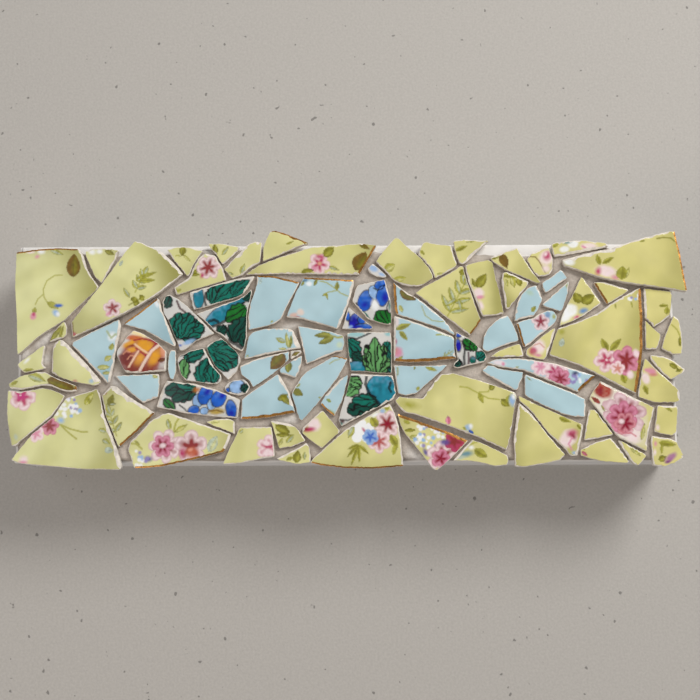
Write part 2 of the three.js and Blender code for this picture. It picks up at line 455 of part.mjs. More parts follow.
shard("tail_10", BLUE, { tilt: [0, 0.01] }, [
  [62.9, -9.1], [64.2, -10.4], [74, -16.2], [77.9, -18.2], [79.2, -17.8], [79.8, -15.2],
  [81.3, -12.6], [81.7, -9.9], [76, -9.2], [70.2, -8.2], [68, -7], [65.2, -6.8],
]);
shard("tail_11", BLUE, { tilt: [0, 0.01], bow: [65, 0.01] }, [
  [82.7, -10.9], [82.3, -14], [82.3, -20.2], [84, -21.6], [90, -24.8], [100, -29.3],
  [104, -30.2], [109.6, -30.6], [109.9, -24], [109.6, -22.2], [106, -20.3], [90, -13.8],
]);
shard("tail_centre", YELLOW, { bow: [5, 0.003], lift: 0.2 }, [
  [98.2, 10.2], [96.9, 7.4], [95.4, 3], [94, -2.1], [100, -4.1], [108, -7], [121.6, -14.2],
  [132.9, -20.1], [134.3, -14], [135.6, -7], [136.5, 0], [137.1, 14], [136.7, 29.2],
  [134.6, 28.3], [125, 23], [115.4, 16.6], [107.7, 13.4], [103.8, 12],
]);
shard("tail_12", YELLOW, { tilt: [0, 0.03] }, [
  [115, 31.7], [118.4, 25.8], [121.1, 21.5], [125.4, 24], [130, 27], [131.2, 28.2],
  [124.6, 30.4], [120, 31.8],
]);
shard("tail_rose", ROSE, { bow: [-30, 0.004], lift: 0.3 }, [
  [117, -14.2], [113.6, -18.6], [111.6, -22.4], [115.2, -27.2], [123.4, -38.8], [125.6, -40.6],
  [137.1, -46.4], [137.5, -42], [138.2, -37.6], [141.2, -26.6], [133.2, -22.6], [120.8, -16.2],
]);

// A closed geometry as a solid that can be joined and cut.
function solidOf(geometry) {
  const bare = geometry.index ? geometry.toNonIndexed() : geometry;
  bare.deleteAttribute("normal");
  bare.deleteAttribute("uv");
  const merged = mergeVertices(bare, 1e-5);
  const vertProperties = new Float32Array(merged.attributes.position.array);
  const triVerts = new Uint32Array(merged.index.array);
  return new wasm.Manifold(new wasm.Mesh({ numProp: 3, vertProperties, triVerts }));
}

function joined(solids) {
  return solids.reduce((whole, solid) => whole.add(solid));
}

function prism(corners, depth) {
  const shape = new THREE.Shape(corners.map(([x, y]) => new THREE.Vector2(x, y)));
  return new THREE.ExtrudeGeometry(shape, { depth, bevelEnabled: false });
}

function column(corners, low, high) {
  return solidOf(prism(corners, high - low).translate(0, 0, low));
}

function box(x0, x1, y0, y1, z0, z1) {
  const block = new THREE.BoxGeometry(x1 - x0, y1 - y0, z1 - z0);
  return solidOf(block.translate((x0 + x1) / 2, (y0 + y1) / 2, (z0 + z1) / 2));
}

// The corners moved outward by the same distance along every side.
function grown(corners, distance) {
  const side = signedArea(corners) > 0 ? distance : -distance;
  return corners.map(([x, y], i) => {
    const [px, py] = corners[(i + corners.length - 1) % corners.length];
    const [nx, ny] = corners[(i + 1) % corners.length];
    const before = new THREE.Vector2(y - py, px - x).normalize();
    const after = new THREE.Vector2(ny - y, x - nx).normalize();
    const both = before.clone().add(after);
    const reach = side / Math.max(0.25, both.dot(after));
    return [x + both.x * reach, y + both.y * reach];
  });
}

// Height of a shard's glazed face above its own datum, before it is set on the bed.
function rise(piece, x, y) {
  const [cx, cy] = centreOf(piece.corners);
  const turn = THREE.MathUtils.degToRad(piece.bow[0]);
  const u = (x - cx) * Math.cos(turn) + (y - cy) * Math.sin(turn);
  const lean = piece.tilt[0] * (x - cx) + piece.tilt[1] * (y - cy);
  return lean - (piece.bow[1] * u * u) / 2;
}

// A bent, leaning slab whose upper face is the shard's glazed face; from and to are
// heights measured from that face.
function slab(piece, from, to) {
  const [cx, cy] = centreOf(piece.corners);
  const angle = THREE.MathUtils.degToRad(piece.bow[0]);
  const c = Math.cos(angle);
  const s = Math.sin(angle);
  const across = piece.corners.map(([x, y]) => (x - cx) * c + (y - cy) * s);
  const reach = Math.max(...across.map(Math.abs)) + SLAB_SPARE;
  const low = Math.min(...piece.corners.map(([x, y]) => rise(piece, x, y)));
  const datum = FACE + SHARD_EDGE + piece.lift - low;
  const steps = piece.bow[1] === 0 ? [-1, 1] : [-1, -0.4, 0.4, 1];
  const curve = steps.map((k) => [k * reach, (-piece.bow[1] * k * k * reach * reach) / 2]);
  const upper = curve.map(([u, h]) => [u, h + to]);
  const lower = curve.map(([u, h]) => [u, h + from]);
  const [tx, ty] = piece.tilt;
  const right = new THREE.Vector3(c, s, tx * c + ty * s);
  const up = new THREE.Vector3(0, 0, 1);
  const out = new THREE.Vector3(s, -c, tx * s - ty * c);
  const place = new THREE.Matrix4().makeBasis(right, up, out).setPosition(cx, cy, datum);
  const bent = prism([...lower, ...upper.reverse()], 2 * PANEL_W).translate(0, 0, -PANEL_W);
  return solidOf(bent.applyMatrix4(place));
}

function chip(piece) {
  return column(piece.corners, FACE, ABOVE).intersect(slab(piece, -CHINA_T, 0));
}

const bySize = [...shards].sort((a, b) => b.drawnArea - a.drawnArea);
const ownShards = bySize.slice(0, OWN_SHARDS);
const smallShards = bySize.slice(OWN_SHARDS);

// One stretcher bar along x at the top of a frame of the given outer size, relieved behind
// the cloth and mitred at both ends.
function bar(outerLength, outerHeight) {
  const back = CLOTH_T + GAP;
  const front = FACE - CLOTH_T - GAP;
  const edge = outerHeight / 2 - CLOTH_T - GAP;
  const half = outerLength / 2 - CLOTH_T - GAP;
  const inner = edge - BAR_W;
  const profile = [
    [inner, back],
    [edge, back],
    [edge, front],
    [edge - BAR_LIP, front],
    [inner, front - BAR_RELIEF],
  ];
  const turn = new THREE.Matrix4().makeBasis(
    new THREE.Vector3(0, 1, 0),
    new THREE.Vector3(0, 0, 1),
    new THREE.Vector3(1, 0, 0),
  );
  const long = solidOf(prism(profile, 2 * half).translate(0, 0, -half).applyMatrix4(turn));
  const trim = GAP / Math.SQRT2;
  const plan = [
    [half - BAR_W - trim, inner],
    [half - trim, edge],
    [-half + trim, edge],
    [-half + BAR_W + trim, inner],
  ];
  return long.intersect(column(grownAlongY(plan), -1, FACE));
}

// Carries the mitres on past both long edges, so that they alone cut the bar.
function grownAlongY([[ax, ay], [bx, by], [cx, cy], [dx, dy]]) {
  const more = 1;
  return [
    [ax - more, ay - more],
    [bx + more, by + more],
    [cx - more, cy + more],
    [dx + more, dy - more],
  ];
}

// Cloth: one skin over the face and the four sides, turned over behind the bars.
function cloth() {
  const w = PANEL_W / 2;
  const h = PANEL_H / 2;
  const t = CLOTH_T;
  const whole = box(-w, w, -h, h, 0, FACE);
  const inside = box(-w + t, w - t, -h + t, h - t, t, FACE - t);
  const window = box(-w + FOLD_W, w - FOLD_W, -h + FOLD_W, h - FOLD_W, -t, 2 * t);
  return whole.subtract(inside).subtract(window);
}

// Grout bed: fills the joints, carries the raised shards on pads and holds the small shards.
function groutBed() {
  const x = PANEL_W / 2 - BED_EDGE;
  const low = FACE + GAP;
  const yLow = -PANEL_H / 2 + BED_EDGE;
  const yHigh = PANEL_H / 2 - BED_TOP_MARGIN;
  const field = box(-x, x, yLow, yHigh, low, ABOVE);
  const layer = box(-x, x, yLow, yHigh, low, FACE + BED_TOP);
  const pads = ownShards.map((piece) =>
    column(piece.corners, low, ABOVE).intersect(slab(piece, -PANEL_D, -CHINA_T / 2)),
  );
  const stems = smallShards.map((piece) =>
    column(piece.corners, low, ABOVE).intersect(slab(piece, -PANEL_D, -CHINA_T / 2)),
  );
  const pockets = ownShards.map((piece) => {
    const wide = column(grown(piece.corners, GAP), FACE, ABOVE);
    return wide.intersect(slab(piece, -CHINA_T - GAP, PANEL_D));
  });
  const base = joined([layer, ...pads, ...stems]).intersect(field);
  return joined([base, ...smallShards.map(chip)]).subtract(joined(pockets));
}

function toMesh(name, solid, look, centre = [0, 0, 0]) {
  const source = solid.getMesh();
  const indexed = new THREE.BufferGeometry();
  indexed.setAttribute("position", new THREE.BufferAttribute(source.vertProperties, 3));
  indexed.setIndex(new THREE.BufferAttribute(source.triVerts, 1));
  indexed.translate(-centre[0], -centre[1], -centre[2]);
  const flat = indexed.toNonIndexed();
  flat.computeVertexNormals();
  const mesh = new THREE.Mesh(flat, new THREE.MeshStandardMaterial({ metalness: 0, ...look }));
  mesh.name = name;
  mesh.position.set(...centre);
  return mesh;
}

const PINE = { color: 0xcdb083, roughness: 0.75 };
const COTTON = { color: 0xe9e8e4, roughness: 0.9 };
const GROUT = { color: 0xa69d92, roughness: 0.92 };

function turned(mesh, quarters) {
  mesh.rotation.z = (quarters * Math.PI) / 2;
  return mesh;
}

const lying = new THREE.Group();
lying.add(toMesh("bar_top", bar(PANEL_W, PANEL_H), PINE));
lying.add(turned(toMesh("bar_left", bar(PANEL_H, PANEL_W), PINE), 1));
lying.add(turned(toMesh("bar_bottom", bar(PANEL_W, PANEL_H), PINE), 2));
lying.add(turned(toMesh("bar_right", bar(PANEL_H, PANEL_W), PINE), 3));
lying.add(toMesh("canvas", cloth(), COTTON));
lying.add(toMesh("grout_bed", groutBed(), GROUT));
for (const piece of ownShards) {
  const [cx, cy] = centreOf(piece.corners);
  lying.add(toMesh(piece.name, chip(piece), piece.glaze, [cx, cy, FACE]));
}

// Stand the panel up and put the origin on the back of its top fold, where it rests on a wall.
lying.rotation.x = Math.PI / 2;
lying.position.z = -MOUNT_Z;

const panel = new THREE.Group();
panel.name = "mosaic_panel";
panel.add(lying);

export default panel;
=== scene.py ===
# Mosaic panel: a fish in broken china, set in grout on a deep stretched canvas.
# Everything is worked out in millimetres on the panel: x to the right, y up the picture,
# both from the panel's centre, and z out of its face from the plane of its back.
import bmesh
import bpy
import math
import numpy as np
from mathutils import Matrix, Vector
from mathutils.geometry import delaunay_2d_cdt


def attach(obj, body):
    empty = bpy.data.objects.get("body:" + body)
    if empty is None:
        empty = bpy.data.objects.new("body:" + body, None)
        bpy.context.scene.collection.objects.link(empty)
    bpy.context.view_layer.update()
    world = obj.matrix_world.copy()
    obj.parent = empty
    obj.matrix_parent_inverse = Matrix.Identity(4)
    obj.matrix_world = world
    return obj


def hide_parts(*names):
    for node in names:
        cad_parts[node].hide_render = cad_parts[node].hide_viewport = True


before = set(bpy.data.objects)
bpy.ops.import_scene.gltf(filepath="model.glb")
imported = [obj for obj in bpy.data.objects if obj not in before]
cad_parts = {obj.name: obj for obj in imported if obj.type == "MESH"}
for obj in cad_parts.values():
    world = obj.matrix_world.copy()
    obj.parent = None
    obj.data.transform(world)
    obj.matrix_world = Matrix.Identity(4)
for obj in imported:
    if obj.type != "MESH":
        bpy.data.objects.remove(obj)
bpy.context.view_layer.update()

PANEL_W, PANEL_H, PANEL_D = 304.8, 101.6, 38.1
HANG = 44.8          # the origin's height above the panel's centre
CHINA = 3.6          # thickness of the china
EDGE = 4.8           # height of a shard's lowest corner above the cloth
GROUT_LEVEL = 3.1
CLOTH = 0.6
FOLD = 12.0          # how far the cloth runs over the back


def metres(p):
    """Points on the panel, in millimetres, in the row's frame."""
    p = np.asarray(p, float)
    return np.column_stack((p[:, 0], -p[:, 2], p[:, 1] - HANG)) * 0.001


def hue(code):
    """A colour as it looks, 0xrrggbb, in the linear numbers that shaders take."""
    c = np.array([(code >> 16) & 255, (code >> 8) & 255, code & 255]) / 255.0
    return np.where(c <= 0.04045, c / 12.92, ((c + 0.055) / 1.055) ** 2.4)


CELLS = 64
lattice = np.random.default_rng(41).random((CELLS, CELLS))


def noise(p, size, seed=0):
    """Smooth noise from 0 to 1 over the panel, with features of about that size."""
    q = np.asarray(p, float)[:, :2] / size + 17.3 * (seed + 1)
    i = np.floor(q).astype(int)
    f = q - i
    f = f * f * (3 - 2 * f)
    a, b = i[:, 0] % CELLS, i[:, 1] % CELLS
    a1, b1 = (a + 1) % CELLS, (b + 1) % CELLS
    low = lattice[a, b] * (1 - f[:, 0]) + lattice[a1, b] * f[:, 0]
    high = lattice[a, b1] * (1 - f[:, 0]) + lattice[a1, b1] * f[:, 0]
    return low * (1 - f[:, 1]) + high * f[:, 1]


# ---------------------------------------------------------------- shapes of the shards
def inside(p, ring):
    """Which points lie inside the ring."""
    hit = np.zeros(len(p), bool)
    for a, b in zip(ring, np.roll(ring, -1, 0)):
        if a[1] == b[1]:
            continue
        cross = (a[1] > p[:, 1]) != (b[1] > p[:, 1])
        hit ^= cross & (p[:, 0] < (b[0] - a[0]) * (p[:, 1] - a[1]) / (b[1] - a[1]) + a[0])
    return hit


def along(p, a, b):
    """Distance of each point from the segment a to b."""
    a, b = np.asarray(a, float), np.asarray(b, float)
    t = np.clip((p - a) @ (b - a) / max((b - a) @ (b - a), 1e-9), 0, 1)
    return np.hypot(*(p - a - t[:, None] * (b - a)).T)


def from_ring(p, ring):
    """Distance of each point from the ring."""
    return np.min([along(p, a, b) for a, b in zip(ring, np.roll(ring, -1, 0))], axis=0)


def surface(s, p):
    """Height of the shard's glaze at those points, from its tilt and its bow."""
    middle = (s["corners"].min(0) + s["corners"].max(0)) / 2
    turn = math.radians(s["bow"][0])
    axis = np.array([math.cos(turn), math.sin(turn)])

    def rise(q):
        bend = s["bow"][1] / 2 * ((q - middle) @ axis) ** 2
        return (q - middle) @ np.array(s["tilt"], float) - bend
    return PANEL_D + EDGE + s["lift"] + rise(p[:, :2]) - rise(s["corners"]).min()


def outline(corners, rng, step=0.85, cut=0.4, jag=0.07):
    """The broken edge: corners nipped off, and the straights a little uneven."""
    x, y = corners.T
    if np.sum(x * np.roll(y, -1) - y * np.roll(x, -1)) < 0:
        corners = corners[::-1]
    nipped = []
    for a, b, c in zip(np.roll(corners, 1, 0), corners, np.roll(corners, -1, 0)):
        for other in (a, c):
            long = np.hypot(*(other - b))
            nipped.append(b + (other - b) * min(cut, long * 0.3) / long)
    ring = []
    for a, b in zip(nipped, nipped[1:] + nipped[:1]):
        long = np.hypot(*(b - a))
        n = max(1, int(long / step))
        side = np.array([b[1] - a[1], a[0] - b[0]]) / max(long, 1e-6)
        for k in range(n):
            ring.append(a + (b - a) * k / n + side * (rng.normal() * jag if 0 < k else 0))
    return np.array(ring)


def inset(ring, width):
    """The ring moved inwards by a width given at each of its points."""
    ahead, back = np.roll(ring, -1, 0) - ring, ring - np.roll(ring, 1, 0)
    n = np.column_stack((-ahead[:, 1], ahead[:, 0])) / (np.hypot(*ahead.T)[:, None] + 1e-9)
    n += np.column_stack((-back[:, 1], back[:, 0])) / (np.hypot(*back.T)[:, None] + 1e-9)
    n /= np.maximum(np.hypot(*n.T)[:, None], 0.6)
    return ring + n * np.asarray(width)[:, None]


# ---------------------------------------------------------------- how a print, and painted shade, is painted
YELLOW, BLUE, WHITE = 0xD6D594, 0xB2D0D9, 0xD2D1CD
# colours of the painted shade where a shard's plate curves away, by glaze
CURVE_SHADES = {YELLOW: 0x85823A, BLUE: 0x83A8B4}
OLIVE, DEEP, BROWN, MIST = 0xA3A23C, 0x77740F, 0x6E4E0C, 0xB4C3B4
ROSE, WINE, PINK, SHELL, CHALK = 0xB52C60, 0x8A0A2A, 0xD98CA8, 0xF2DEE2, 0xF2F5F7
SKY, ROYAL, NAVY, VIOLET = 0x93B7E2, 0x1E5CC0, 0x1414A6, 0x5A5196
TEAL, FIR, SEA, GREEN, SAGE, INK = 0x05695A, 0x04463A, 0x1A7C92, 0x126A22, 0x5F9A5C, 0x060908
AMBER, RUST = 0xE5A32A, 0x8A1A06


def mix(colour, other, cover):
    """The other colour, a code or an array, laid over with that cover from 0 to 1."""
    other = hue(other) if isinstance(other, int) else other
    return colour + other * cover[:, None] - colour * cover[:, None]


def ramp(value):
    return np.clip(value, 0, 1)


def local(p, x, y, turn):
    """The points as seen from x, y, with the first axis turned by that many degrees."""
    c, d = math.cos(math.radians(turn)), math.sin(math.radians(turn))
    u, v = p[:, 0] - x, p[:, 1] - y
    return u * c + v * d, v * c - u * d


def between(p, x0, y0, x1, y1):
    """The points as seen from the first place towards the second, and how far it is."""
    u, v = local(p, x0, y0, math.degrees(math.atan2(y1 - y0, x1 - x0)))
    return u, v, math.hypot(x1 - x0, y1 - y0)


def plain(colour, p):
    return np.tile(hue(colour), (len(p), 1))


def paint_dab(col, p, x, y, a, b, turn, colour, soft):
    """A soft oval."""
    u, v = local(p, x, y, turn)
    r = np.hypot(u / a, v / b) + 0.16 * (noise(p, 1.6, 3) - 0.5)
    cover = ramp((1.1 - r) / max(soft, 0.15))
    return mix(col, colour, cover * (0.8 + 0.2 * noise(p, 0.9, 6)))


def paint_leaf(col, p, x0, y0, x1, y1, w, colour, heart=None):
    """A leaf from its stalk to its tip, with a darker rim and a vein."""
    u, v, long = between(p, x0, y0, x1, y1)
    half = w / 2 * np.sin(np.pi * ramp(u / long) ** 0.8) ** 0.8 + 1e-6
    edge = half - np.abs(v) + 0.12 * (noise(p, 0.8, 2) - 0.5)
    cover = ramp(edge / 0.22) * ((u > 0) & (u < long))
    inner = ramp((half * 0.62 - np.abs(v + 0.1 * w)) / (0.25 * w))
    body = mix(plain(colour, p), colour if heart is None else heart, inner * 0.8)
    body *= (0.74 + 0.5 * noise(p, 1.1, 5))[:, None]
    body = mix(body, hue(colour) * 0.35, ramp(1 - np.abs(edge - 0.15) / 0.2) * 0.6)
    vein = np.clip(0.16 - np.abs(v), 0, 0.1) * 10
    body *= (1 - 0.3 * vein)[:, None]
    return mix(col, body, cover * 0.94)


def paint_frond(col, p, x0, y0, x1, y1, w, colour):
    """A big leaf with veins and an outline in ink."""
    u, v, long = between(p, x0, y0, x1, y1)
    t = np.clip(u / long, 0.02, 1)
    half = w * 0.7 * np.sin(np.pi * t ** 0.75) ** 0.6 * (1 + 0.1 * np.sin(u * 1.9 + x0)) + 1e-6
    edge = np.where((u > -0.1) & (u < long), half - np.abs(v), -1)
    body = plain(colour, p) * (0.75 + 0.5 * noise(p, 1.7, 8))[:, None]
    fan = (np.arctan2(v, u + 0.25 * long) * (9 + w * 0.35) + 0.5 * np.sin(u * 0.9)
           + 1.6 * noise(p, 2.6, 4))
    stripe = np.abs(np.sin(fan))
    body = mix(body, hue(colour) * 1.3, ramp(stripe * 2 - 1.3) * 0.5)
    body = mix(body, INK, ramp((0.42 - stripe) * 5))
    body = mix(body, INK, ramp((0.3 - np.abs(v)) / 0.2) * 0.8)
    col = mix(col, body, ramp(edge / 0.2))
    return mix(col, INK, ramp((0.5 - np.abs(edge)) / 0.25) * (edge > -0.9) * 0.9)


def paint_wash(col, p, x, y, a, b, turn, colour):
    """A pool of colour, or a berry, with an inked rim."""
    u, v = local(p, x, y, turn)
    r = np.hypot(u / a, v / b) + 0.1 * (noise(p, 1.8, 3) - 0.5)
    body = plain(colour, p) * (0.7 + 0.6 * noise(p, 1.6, 9))[:, None]
    paler = np.clip(0.7 * v / b - 0.1 + 0.8 * (noise(p, 1.3, 5) - 0.5), 0, 0.6)
    body = mix(body, (hue(colour) + hue(SKY)) * 0.5, paler)
    col = mix(col, body, ramp((1.02 - r) * min(a, b) / 0.25))
    return mix(col, INK, ramp((0.3 - np.abs(r - 1) * min(a, b)) / 0.2) * 0.75)


def paint_bloom(col, p, x, y, r, n, turn, heart, rim):
    """A flower of n petals, with arms of the heart's colour running out into them."""
    u, v = local(p, x, y, turn)
    lobe = np.abs(np.cos(np.arctan2(v, u) * n / 2))
    rho = np.hypot(u, v) / (r * (0.68 + 0.32 * lobe ** 0.6) * (0.92 + 0.16 * noise(p, 2.2, 4)))
    pale = ramp(rho * 2.3 - 0.4 - 0.6 * lobe ** 3 + 0.5 * (noise(p, 1.3, 7) - 0.5))
    tone = mix(plain(heart, p), rim, pale)
    tone = mix(tone, heart, ramp(0.34 - lobe) * 1.4 * ramp(1.2 - rho))
    tone = mix(tone, heart, ramp(0.5 * np.sin(rho * 9 + 2.2 * lobe) - 0.1) * 0.5)
    tone = mix(tone, heart, ramp(1 - np.abs(rho - 0.97) * 8) * 0.4)
    return mix(col, tone, ramp((1.02 - rho) * r / 0.3) * 0.95)


def paint_curve_shade(col, p, x0, y0, x1, y1, strength, colour):
    """Painted shade where the plate curves away: the glaze darkens from the first place to the
    second.
    """
    way = np.array([x1 - x0, y1 - y0], float)
    t = ramp(((p[:, 0] - x0) * way[0] + (p[:, 1] - y0) * way[1]) / (way[0] ** 2 + way[1] ** 2))
    return mix(col, colour, t * t * (3 - 2 * t) * strength)


def paint_stem(col, p, w, colour, *flat):
    """A line of that width through points given as x, y, x, y and so on."""
    points = np.reshape(flat, (-1, 2))
    d = np.min([along(p, a, b) for a, b in zip(points, points[1:])], axis=0)
    return mix(col, colour, ramp((w / 2 + 0.22 - d) / 0.3) * 0.85)


def paint_spray(col, p, x, y, r, n, seed):
    """A cluster of n small blossoms."""
    rng = np.random.default_rng(seed)
    for _ in range(n):
        a, d = rng.random() * 2 * math.pi, r * math.sqrt(rng.random())
        tone = (CHALK, CHALK, SKY, CHALK, 0x8F84BE)[rng.integers(5)]
        size = 0.7 + 0.5 * rng.random()
        col = paint_dab(col, p, x + d * math.cos(a), y + d * math.sin(a) * 0.8, size, size, 0,
                        tone, 0.5)
    return col


# ---------------------------------------------------------------- the shards, their prints and their painted shade
shards = {}


def shard(name, glaze, corners, tilt=(0, 0), bow=(0, 0), lift=0):
    """A shard with its corners as x, y, x, y and so on, its slope along x and y, its bow's
    direction and curvature, and its lift. The calls after it add to this shard."""
    shards[name] = dict(glaze=glaze, corners=np.reshape(corners, (-1, 2)).astype(float),
                        tilt=tilt, bow=bow, lift=lift, prints_and_shade=[], rims=[], chips=[])


def last():
    return shards[next(reversed(shards))]


def printer(paint):
    return lambda *given: last()["prints_and_shade"].append((paint, given))


leaf, stem, bloom, dab = map(printer, (paint_leaf, paint_stem, paint_bloom, paint_dab))
frond, wash, spray = map(printer, (paint_frond, paint_wash, paint_spray))


# painted shade on the last shard, darkening its glaze where the plate curves away
def curve_shade(x0, y0, x1, y1, strength, colour=None):
    last()["prints_and_shade"].append((paint_curve_shade, (x0, y0, x1, y1, strength,
                                          colour or CURVE_SHADES[last()["glaze"]])))


def rim(*segment):
    """The plate's gilded rim, as a segment of the shard's edge and its width."""
    last()["rims"].append(segment)


def chip(*segment):
    """A broken edge that shows the biscuit, as a segment and its width."""
    last()["chips"].append(segment)


def sprig(x, y, turn, size, pairs, colour, heart, width=2.2):
    """A stem with pairs of leaves and one at its tip."""
    c, d = math.cos(math.radians(turn)), math.sin(math.radians(turn))
    stem(0.45, colour, x, y, x + c * size * 0.9, y + d * size * 0.9)
    for k in range(pairs):
        t = (k + 0.6) / (pairs + 0.6) * size
        for side in (-1, 1):
            e = math.radians(turn + side * (52 - 5 * k))
            long = size * (0.42 - 0.05 * k)
            leaf(x + c * t, y + d * t, x + c * t + math.cos(e) * long,
                 y + d * t + math.sin(e) * long, width, colour, heart)
    leaf(x + c * size * 0.8, y + d * size * 0.8, x + c * size * 1.2, y + d * size * 1.2,
         width, colour, heart)


def bud(x, y, turn, size, pale, dark):
    """A nodding bud with its green cup."""
    c, d = math.cos(math.radians(turn)), math.sin(math.radians(turn))
    leaf(x - c * size * 1.5, y - d * size * 1.5, x + c * size * 0.2, y + d * size * 0.2,
         size * 1.2, OLIVE)
    dab(x + c * size * 0.5, y + d * size * 0.5, size, size * 0.85, turn, pale, 0.5)
    dab(x + c * size * 0.1, y + d * size * 0.1, size * 0.6, size * 0.5, turn, dark, 0.8)


# Border, top edge from left to right
shard("border_top_left", YELLOW, [-153.5, 47.2, -153.7, 31.2, -152.4, 16, -151.6, -1, -149.8, 0.2,
      -141.9, 7.3, -133.1, 13.1, -129.8, 15.1, -119.6, 25.5, -115.6, 29.2, -114.6, 30.8, -117.3,
      34.3, -120.4, 39.3, -121.9, 45.1, -124.2, 48.5, -133.1, 48.9, -142.7, 48.5], bow=(0, 0.006))
rim(-154, 47.4, -124, 49, 0.8)
curve_shade(-138, 34, -119, 42, 0.6)
curve_shade(-140, 43, -141, 50, 0.35)
curve_shade(-148, 6, -140, -2, 0.3)
stem(0.4, OLIVE, -131.5, 36.2, -135, 36, -138.6, 33.6, -140.2, 29.5, -139.8, 26, -137.6, 22.6)
stem(0.4, OLIVE, -140.3, 27, -142.6, 25, -143.7, 22.4)
bud(-144.3, 18, -100, 2.0, PINK, ROSE)
leaf(-138.2, 23.4, -132.5, 20.4, 3.2, OLIVE)
dab(-132.8, 21.8, 2.3, 1.0, 0, ROYAL, 0.6)
dab(-134, 18.4, 2.2, 1.7, -50, SKY, 0.7)
dab(-133, 17.8, 1.4, 1.2, -50, CHALK, 0.9)
leaf(-126.6, 35.2, -126.2, 46.4, 6.6, BROWN, DEEP)
leaf(-137.6, 48.4, -131, 45.6, 2.6, OLIVE, MIST)
dab(-141.6, 47.4, 2.2, 1.7, 0, CHALK, 0.8)
dab(-146.6, 47.2, 2.6, 0.9, 0, SHELL, 0.8)
dab(-143.4, 45, 1.5, 1.2, 20, PINK, 0.9)

shard("border_top_2", YELLOW, [-121, 47.6, -120.9, 45.4, -116.4, 35.4, -113.6, 32.6, -112.9, 32.9,
      -107.1, 43.5, -105.6, 47.9, -110, 48.8, -117.7, 48.7], tilt=(0, 0.03))
curve_shade(-114, 40, -106, 46, 0.3)
dab(-118, 47.2, 2.1, 1.7, 0, CHALK, 0.8)
dab(-114.5, 47.4, 1.8, 1.4, 0, CHALK, 0.8)
leaf(-112, 48, -107.4, 45.6, 2.6, DEEP, OLIVE)

shard("border_top_3", YELLOW, [-126.9, 13.9, -126.2, 7, -115.5, 11.5, -102, 17.8, -94.5, 21.9,
      -86.5, 27, -75.3, 36.5, -80, 42, -85, 46.6, -94.8, 51.2, -97.8, 51.8, -103, 45.1, -112.6,
      31.4, -115.2, 28.2], tilt=(-0.02, 0), bow=(35, 0.007))
chip(-85, 46.6, -75.3, 36.5, 1.3)
curve_shade(-94, 36, -80, 42, 0.75)
curve_shade(-110, 27, -124, 8, 0.45)
curve_shade(-96, 26, -82, 20, 0.3)
bloom(-107.4, 20.2, 4.4, 5, 25, WINE, SHELL)
dab(-109.4, 17.6, 2.0, 1.0, 40, PINK, 0.9)
sprig(-97, 27.5, 66, 11.5, 3, OLIVE, MIST, 2.6)
sprig(-99.8, 21.5, 30, 7, 1, DEEP, OLIVE, 3.4)
leaf(-96.5, 34, -87, 37.2, 2.4, OLIVE)
leaf(-95.5, 33, -87.6, 33.4, 2.6, OLIVE)
leaf(-99.4, 25, -102.6, 29.8, 2.2, OLIVE, MIST)
leaf(-104.6, 39.8, -102.8, 42.8, 1.6, MIST)
stem(0.8, BROWN, -126.4, 13.6, -126, 9.4)
dab(-125.4, 8.6, 1.4, 1.2, 0, ROSE, 0.9)

shard("border_top_4", YELLOW, [-83, 48, -80.3, 43.9, -76.1, 38.9, -73.4, 35.6, -72.6, 36, -70.5,
      41.2, -66.2, 47.6, -74.5, 49.6, -78.5, 49.4], tilt=(0, 0.02))
curve_shade(-76, 46, -72, 36, 0.3)
leaf(-75.4, 49.8, -76, 45, 3.6, DEEP, OLIVE)
leaf(-75.4, 45.6, -71.6, 42.2, 1.6, OLIVE, YELLOW)
leaf(-79.2, 45.2, -76.4, 45, 1.4, OLIVE, YELLOW)

shard("border_top_5", YELLOW, [-79.5, 30.3, -78.4, 26.8, -67.2, 30.1, -55.2, 33.6, -56.8, 38.9,
      -60.6, 45.2, -65.6, 46.2, -67.5, 44.6, -69.9, 41, -72, 36, -73, 34.6], tilt=(0.01, 0.03))
curve_shade(-62, 36, -76, 28, 0.3)
leaf(-72.6, 35.6, -67.6, 39.2, 2.2, DEEP, OLIVE)
leaf(-71.6, 36.4, -67.4, 36.2, 1.8, DEEP, OLIVE)
bloom(-63.6, 39.6, 5.9, 6, 12, WINE, SHELL)
dab(-66.4, 35.8, 1.8, 1.3, 70, ROSE, 0.9)
leaf(-79.4, 28.2, -75.8, 29.4, 1.8, OLIVE)

shard("border_top_6", YELLOW, [-63.9, 50.9, -62.6, 48.5, -59.9, 45.6, -57.1, 41.1, -54.5, 43,
      -50.6, 46.8, -49.3, 49.3, -56.5, 50.7], tilt=(-0.01, 0.05))
leaf(-60.4, 45.6, -60.8, 50.8, 3.0, DEEP, OLIVE)
leaf(-57.4, 45.4, -54.2, 49.6, 2.2, OLIVE, MIST)

shard("border_top_7", YELLOW, [-56.3, 38.7, -52.4, 34.4, -47.4, 36.2, -45, 38.8, -42, 40.6, -39.7,
      41.8, -38.9, 49.3, -38.9, 51.4, -41.4, 51.8, -44.8, 50.6, -49.8, 45.8], tilt=(0, 0.03),
      bow=(40, 0.008))
chip(-38.9, 51.4, -49.8, 45.8, 1.3)
curve_shade(-48, 42, -56, 36, 0.3)
leaf(-48.6, 36.4, -46.6, 41.4, 2.6, OLIVE, MIST)
stem(0.6, OLIVE, -45.6, 37.6, -43.4, 39.8, -41.8, 40.8)
leaf(-54.6, 37.4, -51.6, 36.2, 1.3, OLIVE, MIST)

shard("border_top_8", YELLOW, [-38.2, 42.3, -34.5, 43.7, -29.8, 45.6, -25.5, 47.5, -22, 49.2,
      -16.8, 50.7, -22.2, 53, -27.5, 55.2, -32.5, 56.8, -34.7, 56.5, -36.2, 53.9, -37.9, 49.5],
      tilt=(0.02, -0.02), lift=0.6)
rim(-32.5, 56.8, -16.8, 50.7, 0.5)
leaf(-27.6, 50.2, -23.6, 51.8, 1.3, OLIVE)

